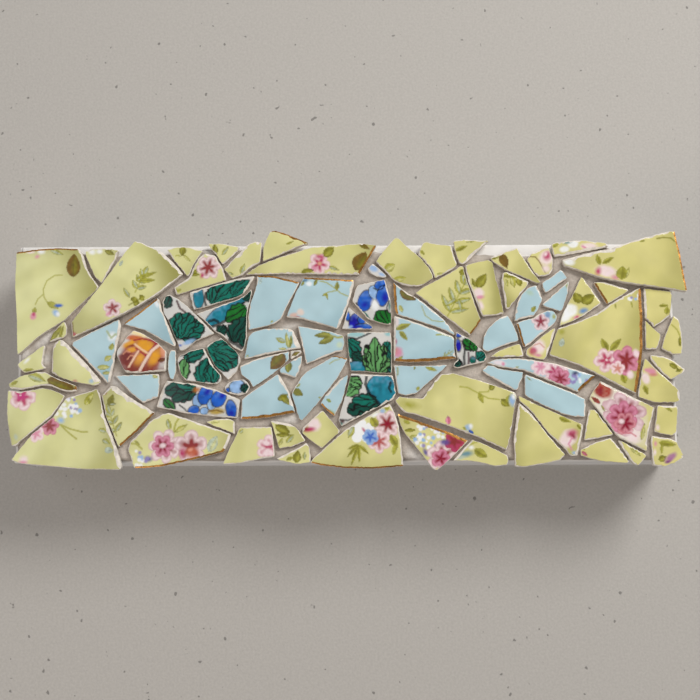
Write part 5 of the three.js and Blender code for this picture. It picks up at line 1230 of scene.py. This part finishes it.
shard("tail_rose", YELLOW, [117, -14.2, 113.6, -18.6, 111.6, -22.4, 115.2, -27.2, 123.4, -38.8,
      125.6, -40.6, 137.1, -46.4, 137.5, -42, 138.2, -37.6, 141.2, -26.6, 133.2, -22.6, 120.8,
      -16.2], bow=(-30, 0.004), lift=0.3)
chip(117, -14.2, 133.2, -22.6, 0.8)
chip(137.5, -42, 141.2, -26.6, 0.7)
dab(124, -31, 13, 19, 25, 0xE7E2D8, 0.5)
dab(117.8, -18.4, 5.2, 3.8, -30, 0xA32B1C, 0.4)
dab(116.6, -18.8, 2.2, 2.2, 0, WINE, 0.8)
leaf(116.6, -24.6, 112.4, -21.4, 2.2, RUST)
bloom(127, -29.6, 10.6, 8, 10, WINE, 0xE6CBD2)
bloom(126.4, -30.8, 7.6, 7, 30, WINE, PINK)
bloom(127.6, -33.8, 5.4, 6, 0, WINE, 0xD7909C)
dab(126, -32.8, 1.5, 1.4, 0, SHELL, 0.6)
dab(131.6, -39.6, 4.6, 3.4, 30, SHELL, 0.7)
stem(0.5, 0xC9707C, 124.6, -36.6, 127.4, -38.4, 130, -38, 132.4, -39.6)
leaf(134.6, -41.4, 136.6, -33.4, 2.2, OLIVE, YELLOW)
leaf(117, -25.4, 118.6, -28.4, 1.2, OLIVE, BROWN)


def flute(name, p):
    """The plates the shards came from are gently fluted; -1 to 1, each shard its own way."""
    seed = sum(map(ord, name))
    turn = math.radians(seed * 37 % 180)
    u = p[:, 0] * math.cos(turn) + p[:, 1] * math.sin(turn)
    wave = np.sin(u * 2 * math.pi / (17 + seed % 9) + seed % 6)
    return wave * (0.6 + 0.4 * noise(p, 12, seed % 7))


def painted(name, s, p):
    """The glaze's colour at those points: the ground, painted shade along the flutes, then prints
    and painted shade.
    """
    yellow = s["glaze"] == YELLOW
    col = plain(s["glaze"], p)
    if yellow:
        t = ramp((p[:, 0] + 150) / 300)[:, None]
        col = hue(0xDBDCA1) * (1 - t) + hue(0xD7D089) * t
    # painted shade: the glaze darkened in bands along the flutes
    flute_shade = ramp(0.5 * flute(name, p)) * (0.4 if yellow else 0.25)
    col = mix(col, OLIVE if yellow else 0x8FAEB4, flute_shade)
    col *= (0.95 + 0.1 * noise(p, 5, 1))[:, None]
    for paint, given in s["prints_and_shade"]:
        col = paint(col, p, *given)
    return ramp(col)


# ---------------------------------------------------------------- materials
def node(tree, kind, **values):
    """A new node with some inputs set by name, where _ stands for a space."""
    made = tree.nodes.new("ShaderNode" + kind)
    for socket, value in values.items():
        made.inputs[socket.replace("_", " ")].default_value = value
    return made


def cloud(tree, size, detail=3.0):
    made = node(tree, "TexNoise", Scale=size, Detail=detail)
    tree.links.new(tree.nodes["Texture Coordinate"].outputs["Object"], made.inputs["Vector"])
    return made.outputs["Fac"]


def span(tree, source, low, high, start=0.3, end=0.7):
    """The source's values from start to end, spread from low to high."""
    made = node(tree, "MapRange", From_Min=start, From_Max=end, To_Min=low, To_Max=high)
    tree.links.new(source, made.inputs["Value"])
    return made.outputs["Result"]


def multiplied(tree, factor):
    """A node that multiplies its colour A by the factor."""
    made = node(tree, "Mix")
    made.data_type = "RGBA"
    made.blend_type = "MULTIPLY"
    made.inputs["Factor"].default_value = 1.0
    tree.links.new(factor, made.inputs["B"])
    return made


def material(name, colour, spread, scale, rough, bump, bump_scale, metallic=0.0, coat=0.0):
    """A procedural finish: the colour, or the points' paint where it is None, varied by
    noise, with uneven roughness and a bump."""
    m = bpy.data.materials.new(name)
    m.use_nodes = True
    tree = m.node_tree
    node(tree, "TexCoord")
    out = tree.nodes["Principled BSDF"]
    blend = multiplied(tree, span(tree, cloud(tree, scale), 1 - spread, 1 + spread * 0.6))
    if colour is None:
        paint = node(tree, "Attribute")
        paint.attribute_name = "paint"
        tree.links.new(paint.outputs["Color"], blend.inputs["A"])
    else:
        blend.inputs["A"].default_value = (*hue(colour), 1)
    tree.links.new(blend.outputs["Result"], out.inputs["Base Color"])
    uneven = span(tree, cloud(tree, scale * 1.7), rough * 0.8, rough * 1.25)
    tree.links.new(uneven, out.inputs["Roughness"])
    out.inputs["Metallic"].default_value = metallic
    out.inputs["Specular IOR Level"].default_value = 0.35
    out.inputs["Coat Weight"].default_value = coat
    out.inputs["Coat Roughness"].default_value = 0.06
    relief = node(tree, "Bump", Strength=bump, Distance=0.0004)
    tree.links.new(cloud(tree, bump_scale, 4.0), relief.inputs["Height"])
    tree.links.new(relief.outputs["Normal"], out.inputs["Normal"])
    return m


glaze_finish = material("glaze", None, 0.05, 90, 0.18, 0.05, 260, coat=0.15)
biscuit_finish = material("biscuit", 0xE2DBD0, 0.22, 500, 0.75, 0.35, 2500)
gilt_finish = material("gilding", 0xC08A48, 0.45, 420, 0.27, 0.12, 900, metallic=0.85)
grout_finish = material("grout", None, 0.14, 700, 0.92, 0.8, 1600)
pine_finish = material("pine", 0xD8B98A, 0.16, 60, 0.65, 0.3, 400)


def weave_finish():
    """Primed canvas, with a fine weave for its bump."""
    m = material("canvas", 0xE9E7E4, 0.05, 120, 0.85, 0.12, 1500)
    tree = m.node_tree
    total = node(tree, "Math")
    for k, way in enumerate(("X", "Z")):
        wave = node(tree, "TexWave", Scale=620, Distortion=0.6)
        wave.bands_direction = way
        tree.links.new(tree.nodes["Texture Coordinate"].outputs["Object"], wave.inputs["Vector"])
        tree.links.new(wave.outputs["Fac"], total.inputs[k])
    tree.links.new(total.outputs["Value"], tree.nodes["Bump"].inputs["Height"])
    return m


canvas_finish = weave_finish()


def piece(name, points, faces, finishes, which=None, smooth=38, paint=None):
    """A mesh from points in panel millimetres, riding on the part's one body."""
    mesh = bpy.data.meshes.new(name)
    mesh.from_pydata(metres(points).tolist(), [], faces)
    for f in finishes:
        mesh.materials.append(f)
    if which is not None:
        mesh.polygons.foreach_set("material_index", np.asarray(which, np.int32))
    mesh.polygons.foreach_set("use_smooth", [True] * len(mesh.polygons))
    mesh.set_sharp_from_angle(angle=math.radians(smooth))
    if paint is not None:
        layer = mesh.attributes.new("paint", "FLOAT_COLOR", "POINT")
        rgba = np.column_stack((paint, np.ones(len(paint)))).astype(np.float32)
        layer.data.foreach_set("color", rgba.ravel())
    mesh.update()
    o = bpy.data.objects.new(name, mesh)
    bpy.context.scene.collection.objects.link(o)
    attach(o, "root")
    return o


# ---------------------------------------------------------------- the china
STEP = 0.44          # spacing of a shard's points, fine enough for its print
MARGIN = 0.28        # the least distance from those points to the worn edge
FLUTE = 0.13         # height of the flutes
GLAZED, BISCUIT, GILT = range(3)


def on_segments(p, way, segments, reach=1.4):
    """How wide a rim or a chip is at points of an edge that runs that way; 0 where none is."""
    width = np.zeros(len(p))
    for x0, y0, x1, y1, w in segments:
        axis = np.array([x1 - x0, y1 - y0]) / math.hypot(x1 - x0, y1 - y0)
        near = (along(p, (x0, y0), (x1, y1)) < reach) & (np.abs(way @ axis) > 0.75)
        width = np.where(near, np.maximum(width, w), width)
    return width


def edge_widths(s, ring):
    """How far the glaze is worn back at each point of the edge, and where it is gilded."""
    way = np.roll(ring, -1, 0) - np.roll(ring, 1, 0)
    way /= np.hypot(*way.T)[:, None] + 1e-9
    facing = np.floor(np.degrees(np.arctan2(way[:, 1], way[:, 0])) / 25).astype(int)
    chance = np.random.default_rng(len(ring)).random(20) ** 2
    chipped = np.maximum(on_segments(ring, way, s["chips"]), chance[facing] * 0.75)
    gold = on_segments(ring, way, s["rims"])
    worn = chipped * (0.3 + 1.15 * noise(ring, 2.4, 2)) + 0.06 + 0.1 * noise(ring, 1.3, 5)
    gilded = np.maximum(worn, gold * (0.75 + 0.3 * noise(ring, 2, 3)))
    return np.where(gold > 0, gilded, worn), gold > 0


for name, s in shards.items():
    rng = np.random.default_rng(sum(ord(c) * (i + 3) for i, c in enumerate(name)))
    ring = s["ring"] = outline(s["corners"], rng)
    worn, gold = edge_widths(s, ring)
    lip = inset(ring, worn)
    n = len(ring)
    low, high = ring.min(0), ring.max(0)
    gx, gy = np.meshgrid(np.arange(low[0], high[0], STEP), np.arange(low[1], high[1], STEP))
    grid = np.column_stack((gx.ravel(), gy.ravel())) + rng.normal(size=(gx.size, 2)) * 0.03
    grid = grid[inside(grid, lip)]
    grid = grid[from_ring(grid, lip) > MARGIN]
    verts, _, tris, _, _, _ = delaunay_2d_cdt(
        [Vector(q) for q in np.vstack((lip, grid))], [(k, (k + 1) % n) for k in range(n)], [],
        1, 1e-6)
    top = np.array([tuple(v) for v in verts])
    z = surface(s, top) + FLUTE * flute(name, top) * ramp(from_ring(top, ring) / 3)
    drop = 0.1 + np.where(gold, 0.12, 0.45) * worn
    points = np.vstack((np.column_stack((top, z)),
                        np.column_stack((ring, surface(s, ring) - drop)),
                        np.column_stack((ring, surface(s, ring) - CHINA))))
    faces = [tuple(f) for f in tris]
    a, b, c = top[list(faces[0])]
    if (b[0] - a[0]) * (c[1] - a[1]) < (b[1] - a[1]) * (c[0] - a[0]):
        faces = [f[::-1] for f in faces]
    which = [GLAZED] * len(faces)
    bevel = len(top)
    foot = bevel + n
    for k in range(n):
        j = (k + 1) % n
        faces.append((k, bevel + k, bevel + j, j))
        which.append(GILT if gold[k] else BISCUIT)
        faces.append((bevel + k, foot + k, foot + j, bevel + j))
        which.append(BISCUIT)
    faces.append(tuple(foot + k for k in range(n - 1, -1, -1)))
    which.append(BISCUIT)
    china = piece("china_" + name, points, faces, [glaze_finish, biscuit_finish, gilt_finish],
                  which, 40, painted(name, s, points[:, :2]))
    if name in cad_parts:
        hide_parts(name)

# ---------------------------------------------------------------- the grout
NX, NY = 460, 150    # points across and up the grout
SIDE = 151.4         # where the grout ends, left and right
BARE = [(-111, 13, 2.8), (-87.5, 8, 2.4), (25, 12, 2.6), (78, 24, 3.4), (-32, 14, 1.0)]
SMEARS = ((34, -49, 8, 5, -40), (-140, -3, 5, 3, 20), (-66, 47.5, 12, 2, 0), (10, 48, 12, 2, 0),
          (126, -46, 7, 3, 10), (-34, -50, 9, 2.5, 0), (-112, 15, 15, 3, 28), (-138, 8, 10, 3, 48),
          (-150, 0, 6, 5, 0), (-104, -14, 9, 4, -30), (-58, -30, 14, 3, 5), (-26, -31, 10, 3, 10),
          (44, -1, 10, 3, 30), (-30, 10, 12, 2, 20), (80, 18, 5, 4, 60), (128, 38, 9, 3, -30),
          (2, -26, 8, 3, 50))


def wander(v, size, seed, row):
    """Noise along a line, from 0 to 1."""
    return noise(np.column_stack((v, v * 0 + row)), size, seed)


def top_edge(x):
    """How far up the grout goes: bare cloth shows above it in places."""
    y = 48.7 + 0.9 * (wander(x, 3.1, 2, 0) - 0.5)
    for middle, half, deep in BARE:
        y = y - deep * np.exp(-((x - middle) / half) ** 4)
    return y


u, v = np.meshgrid(np.linspace(0, 1, NX), np.linspace(0, 1, NY))
u, v = u.ravel(), v.ravel()
x = -SIDE + 2 * SIDE * u
y = -50 + 0.5 * (wander(x, 4, 4, 9) - 0.5)
y = y + (top_edge(x) - y) * v
near_side = ramp(np.abs(u - 0.5) * 20 - 9)
x = x + np.where(u < 0.5, 1, -1) * 0.7 * wander(y, 3, 3, 5) * near_side
spread = np.column_stack((x, y))
level = GROUT_LEVEL + 0.5 * (noise(spread, 4.5, 1) - 0.5) + 0.35 * (noise(spread, 1.3, 2) - 0.5)
level -= 2 * ramp(noise(spread, 1.9, 6) - 0.8)          # a few pits
shade_and_grime = np.zeros(len(spread))
for s in shards.values():
    ring = s["ring"]
    near = np.flatnonzero((spread > ring.min(0) - 3).all(1) & (spread < ring.max(0) + 3).all(1))
    if not len(near):
        continue
    q = spread[near]
    far, within = from_ring(q, ring), inside(q, ring)
    level[near] += np.where(within, 0, 0.45 * np.exp(-far / 0.5))
    # painted shade with some grime, strongest close to a shard and in narrow gaps
    shade_and_grime[near] += np.where(within, 0.5, np.exp(-far / 1.0))
    under = surface(s, q) - CHINA - PANEL_D - 0.1
    level[near] = np.where(within & (far > 1.0), np.maximum(level[near], under), level[near])
margin = np.minimum.reduce([u * 2 * SIDE, (1 - u) * 2 * SIDE, v * 98, (1 - v) * 98])
rounded = np.sqrt(ramp(1 - (1 - ramp(margin / 2.0)) ** 2))
level = 0.35 + (np.clip(level, 1.2, 4.6) - 0.35) * (0.08 + 0.92 * rounded)
points = np.column_stack((spread, PANEL_D + level))
faces = [(k, k + 1, k + NX + 1, k + NX)
         for j in range(NY - 1) for k in range(j * NX, j * NX + NX - 1)]
loop = [*range(NX), *range(2 * NX - 1, NX * NY, NX),
        *range(NX * NY - 2, NX * (NY - 1) - 1, -1), *range((NY - 2) * NX, 0, -NX)]
count = len(points)
skirt = points[loop]
skirt[:, 2] = PANEL_D + 0.02
points = np.vstack((points, skirt))
for k in range(len(loop)):
    j = (k + 1) % len(loop)
    faces.append((loop[k], count + k, count + j, loop[j]))
faces.append(tuple(range(count + len(loop) - 1, count - 1, -1)))
tone = plain(0xBBB2A8, points) * (0.84 + 0.3 * noise(points, 6, 2))[:, None]
for smear in SMEARS:
    tone = paint_dab(tone, points, *smear, 0xDEDBD6, 1.0)
# the grout darkened by painted shade and grime next to the shards
tone[:count] = mix(tone[:count], 0x6A5A4C, np.clip(0.55 * shade_and_grime - 0.08, 0, 0.62))
grout = piece("grout", points, faces, [grout_finish], None, 60, tone)
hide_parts("grout_bed")

# ---------------------------------------------------------------- the canvas
BEND = 1.2           # radius where the cloth turns over an edge
ARC = BEND * math.pi / 2
STRAIGHT = PANEL_D - BEND - BEND
HALF_W, HALF_H = PANEL_W / 2, PANEL_H / 2
ROUND_W, ROUND_H = HALF_W - BEND + ARC, HALF_H - BEND + ARC   # along the cloth to a side
TINY = 1e-6


def wrapped(a, half):
    """Where a line running outwards over the cloth goes: across, and back from the face."""
    side = np.sign(a)
    a = abs(a) - (half - BEND)
    if a <= 0:
        return side * (a + half - BEND), 0.0
    if a <= ARC:
        return side * (half - BEND + BEND * math.sin(a / BEND)), BEND - BEND * math.cos(a / BEND)
    a -= ARC
    if a <= STRAIGHT:
        return side * half, BEND + a
    a -= STRAIGHT
    if a <= ARC:
        return (side * (half - BEND + BEND * math.cos(a / BEND)),
                BEND + STRAIGHT + BEND * math.sin(a / BEND))
    return side * (half - BEND - (a - ARC)), PANEL_D


def stations(half, middle):
    """Where the lines across the cloth lie: few on the flats, more round the bends."""
    edge = half - BEND
    out = [edge + ARC * k / 4 for k in range(5)]
    out += [edge + ARC + STRAIGHT * k / 6 for k in range(1, 7)]
    out += [edge + ARC + STRAIGHT + ARC * k / 4 for k in range(1, 5)]
    out += [out[-1] + (FOLD - BEND) * k / 2 for k in (1, 2)]
    return [-v for v in reversed(out)] + list(np.linspace(-edge, edge, middle))[1:-1] + out


def mitred(across, half_across, along_it, half_along):
    """The fold on the back, cut off at a slant towards its end."""
    limit = half_along - max(0.0, half_across - abs(across) - 0.2)
    return math.copysign(min(abs(along_it), limit), along_it)


sx, sy = stations(HALF_W, 50), stations(HALF_H, 18)
cloth, index, faces = [], {}, []


def knot(i, j):
    """The number of the point where two lines over the cloth cross."""
    if (i, j) not in index:
        (px, dx), (py, dy) = wrapped(sx[i], HALF_W), wrapped(sy[j], HALF_H)
        out_x, out_y = abs(sx[i]) > ROUND_W + TINY, abs(sy[j]) > ROUND_H + TINY
        if out_x and not out_y and dx > PANEL_D - BEND:
            py = mitred(px, HALF_W, py, HALF_H)
        if out_y and not out_x and dy > PANEL_D - BEND:
            px = mitred(py, HALF_H, px, HALF_W)
        depth = max(dx, dy) if out_x or out_y else min(dx + dy, BEND * 1.2)
        index[i, j] = len(cloth)
        cloth.append((px, py, PANEL_D - depth))
    return index[i, j]


for i in range(len(sx) - 1):
    for j in range(len(sy) - 1):
        far_x = max(abs(sx[i]), abs(sx[i + 1])) > ROUND_W + TINY
        far_y = max(abs(sy[j]), abs(sy[j + 1])) > ROUND_H + TINY
        if not (far_x and far_y):
            faces.append((knot(i, j), knot(i + 1, j), knot(i + 1, j + 1), knot(i, j + 1)))
# The spare cloth at each corner is folded flat over the end, to a slanting edge.
for ex in (-1, 1):
    i = min(range(len(sx)), key=lambda k: abs(sx[k] - ex * ROUND_W))
    for ey in (-1, 1):
        rows = [j for j in range(len(sy)) if sy[j] * ey >= ROUND_H - TINY
                and wrapped(sy[j], HALF_H)[1] <= PANEL_D - BEND + TINY]
        rows.sort(key=lambda j: abs(sy[j]))
        before = None
        for j in rows:
            deep = wrapped(sy[j], HALF_H)[1]
            reach = 3 + 17 * (deep - BEND) / STRAIGHT
            row = (knot(i, j), len(cloth), len(cloth) + 1)
            for short in (0.3, reach):
                cloth.append((ex * (HALF_W + CLOTH + 0.1), ey * (HALF_H - short), PANEL_D - deep))
            if before:
                for a, b in ((0, 1), (1, 2)):
                    quad = (before[a], before[b], row[b], row[a])
                    faces.append(quad if ex * ey > 0 else quad[::-1])
            before = row
canvas = piece("canvas_cloth", np.array(cloth), faces, [canvas_finish], None, 30)
shell = bmesh.new()
shell.from_mesh(canvas.data)
bmesh.ops.recalc_face_normals(shell, faces=shell.faces)
shell.to_mesh(canvas.data)
shell.free()
canvas.data.validate()
thick = canvas.modifiers.new("thickness", "SOLIDIFY")
thick.thickness = CLOTH * 0.001
thick.offset = -1.0
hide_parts("canvas")

# ---------------------------------------------------------------- the bars
for bar in ("bar_top", "bar_bottom", "bar_left", "bar_right"):
    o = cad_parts[bar]
    o.data.materials.clear()
    o.data.materials.append(pine_finish)
    soft = o.modifiers.new("worn arrises", "BEVEL")
    soft.width = 0.0006
    soft.segments = 2
    soft.limit_method = "ANGLE"

# ---------------------------------------------------------------- the wall
WALL = 3             # half its size, in metres
BEHIND = 0.001       # how far it lies behind the panel
wall_mesh = bpy.data.meshes.new("wall_surface")
wall_mesh.from_pydata([(-WALL, BEHIND, -WALL), (WALL, BEHIND, -WALL), (WALL, BEHIND, WALL),
                       (-WALL, BEHIND, WALL)], [], [(0, 1, 2, 3)])
wall = bpy.data.objects.new("wall_surface", wall_mesh)
bpy.context.scene.collection.objects.link(wall)
wall_finish = material("wall_surface", 0xB6B3AE, 0.07, 900, 0.8, 0.2, 800)
tree = wall_finish.node_tree
shader = tree.nodes["Principled BSDF"]
from_behind = node(tree, "MixShader")          # the wall is clear from behind
tree.links.new(node(tree, "NewGeometry").outputs["Backfacing"], from_behind.inputs["Fac"])
tree.links.new(shader.outputs["BSDF"], from_behind.inputs[1])
tree.links.new(node(tree, "BsdfTransparent").outputs["BSDF"], from_behind.inputs[2])
tree.links.new(from_behind.outputs["Shader"], tree.nodes["Material Output"].inputs["Surface"])
ground = tree.nodes["Mix"].outputs["Result"]
speckled = multiplied(tree, span(tree, cloud(tree, 330, 1.0), 1.0, 0.5, 0.75, 0.79))
tree.links.new(ground, speckled.inputs["A"])
tree.links.new(speckled.outputs["Result"], shader.inputs["Base Color"])
wall_mesh.materials.append(wall_finish)
wall.visible_diffuse = False
wall.visible_shadow = False


# ---------------------------------------------------------------- light and camera
def lamp(name, place, aim, size, watts, colour):
    light = bpy.data.lights.new(name, "AREA")
    light.shape = "DISK"
    light.size = size
    light.energy = watts
    light.color = colour
    o = bpy.data.objects.new(name, light)
    o.location = place
    o.rotation_euler = (Vector(aim) - Vector(place)).to_track_quat("-Z", "Y").to_euler()
    bpy.context.scene.collection.objects.link(o)


MIDDLE = (0, 0, -0.045)
lamp("window", (0.75, -0.95, 0.75), MIDDLE, 0.7, 15.5, (1.0, 0.98, 0.95))
lamp("low", (-0.6, -0.9, -0.8), (-0.05, 0, -0.06), 0.6, 2.6, (1.0, 0.84, 0.72))
lamp("room", (-0.9, -1.3, 0.1), MIDDLE, 1.2, 3, (0.95, 0.97, 1.0))
lamp("behind", (0.3, 1.2, 0.6), MIDDLE, 0.9, 14, (1.0, 0.98, 0.96))
world = bpy.data.worlds.new("room")
world.use_nodes = True
sky = world.node_tree.nodes["Background"]
sky.inputs["Color"].default_value = (0.86, 0.83, 0.81, 1)
sky.inputs["Strength"].default_value = 0.38
scene = bpy.context.scene
scene.world = world
scene.view_settings.view_transform = "Standard"
scene.view_settings.look = "None"

# The camera was fitted to the corners of the panel's face, as a yaw, a pitch and a roll.
YAW, PITCH, ROLL = -0.70, -7.23, 0.15
PLACE = (0.0094, -0.6328, -0.119)


def spin(axis, degrees):
    return Matrix.Rotation(math.radians(degrees), 3, axis)


def flip(w):
    """From the fit's frame, where depth runs towards the camera, to the row's."""
    return Vector((w.x, -w.y, w.z))


aim = spin("Z", YAW) @ spin("X", PITCH) @ spin("Y", ROLL)
right, up, ahead = (aim @ Vector(w) for w in ((1, 0, 0), (0, 0, 1), (0, -1, 0)))
lens = bpy.data.cameras.new("photo")
lens.lens = 66.34
lens.sensor_width = 36
camera = bpy.data.objects.new("photo", lens)
turn = Matrix((flip(right), flip(up), -flip(ahead))).transposed().to_4x4()
camera.matrix_world = Matrix.Translation(Vector(PLACE)) @ turn
scene.collection.objects.link(camera)
scene.camera = camera
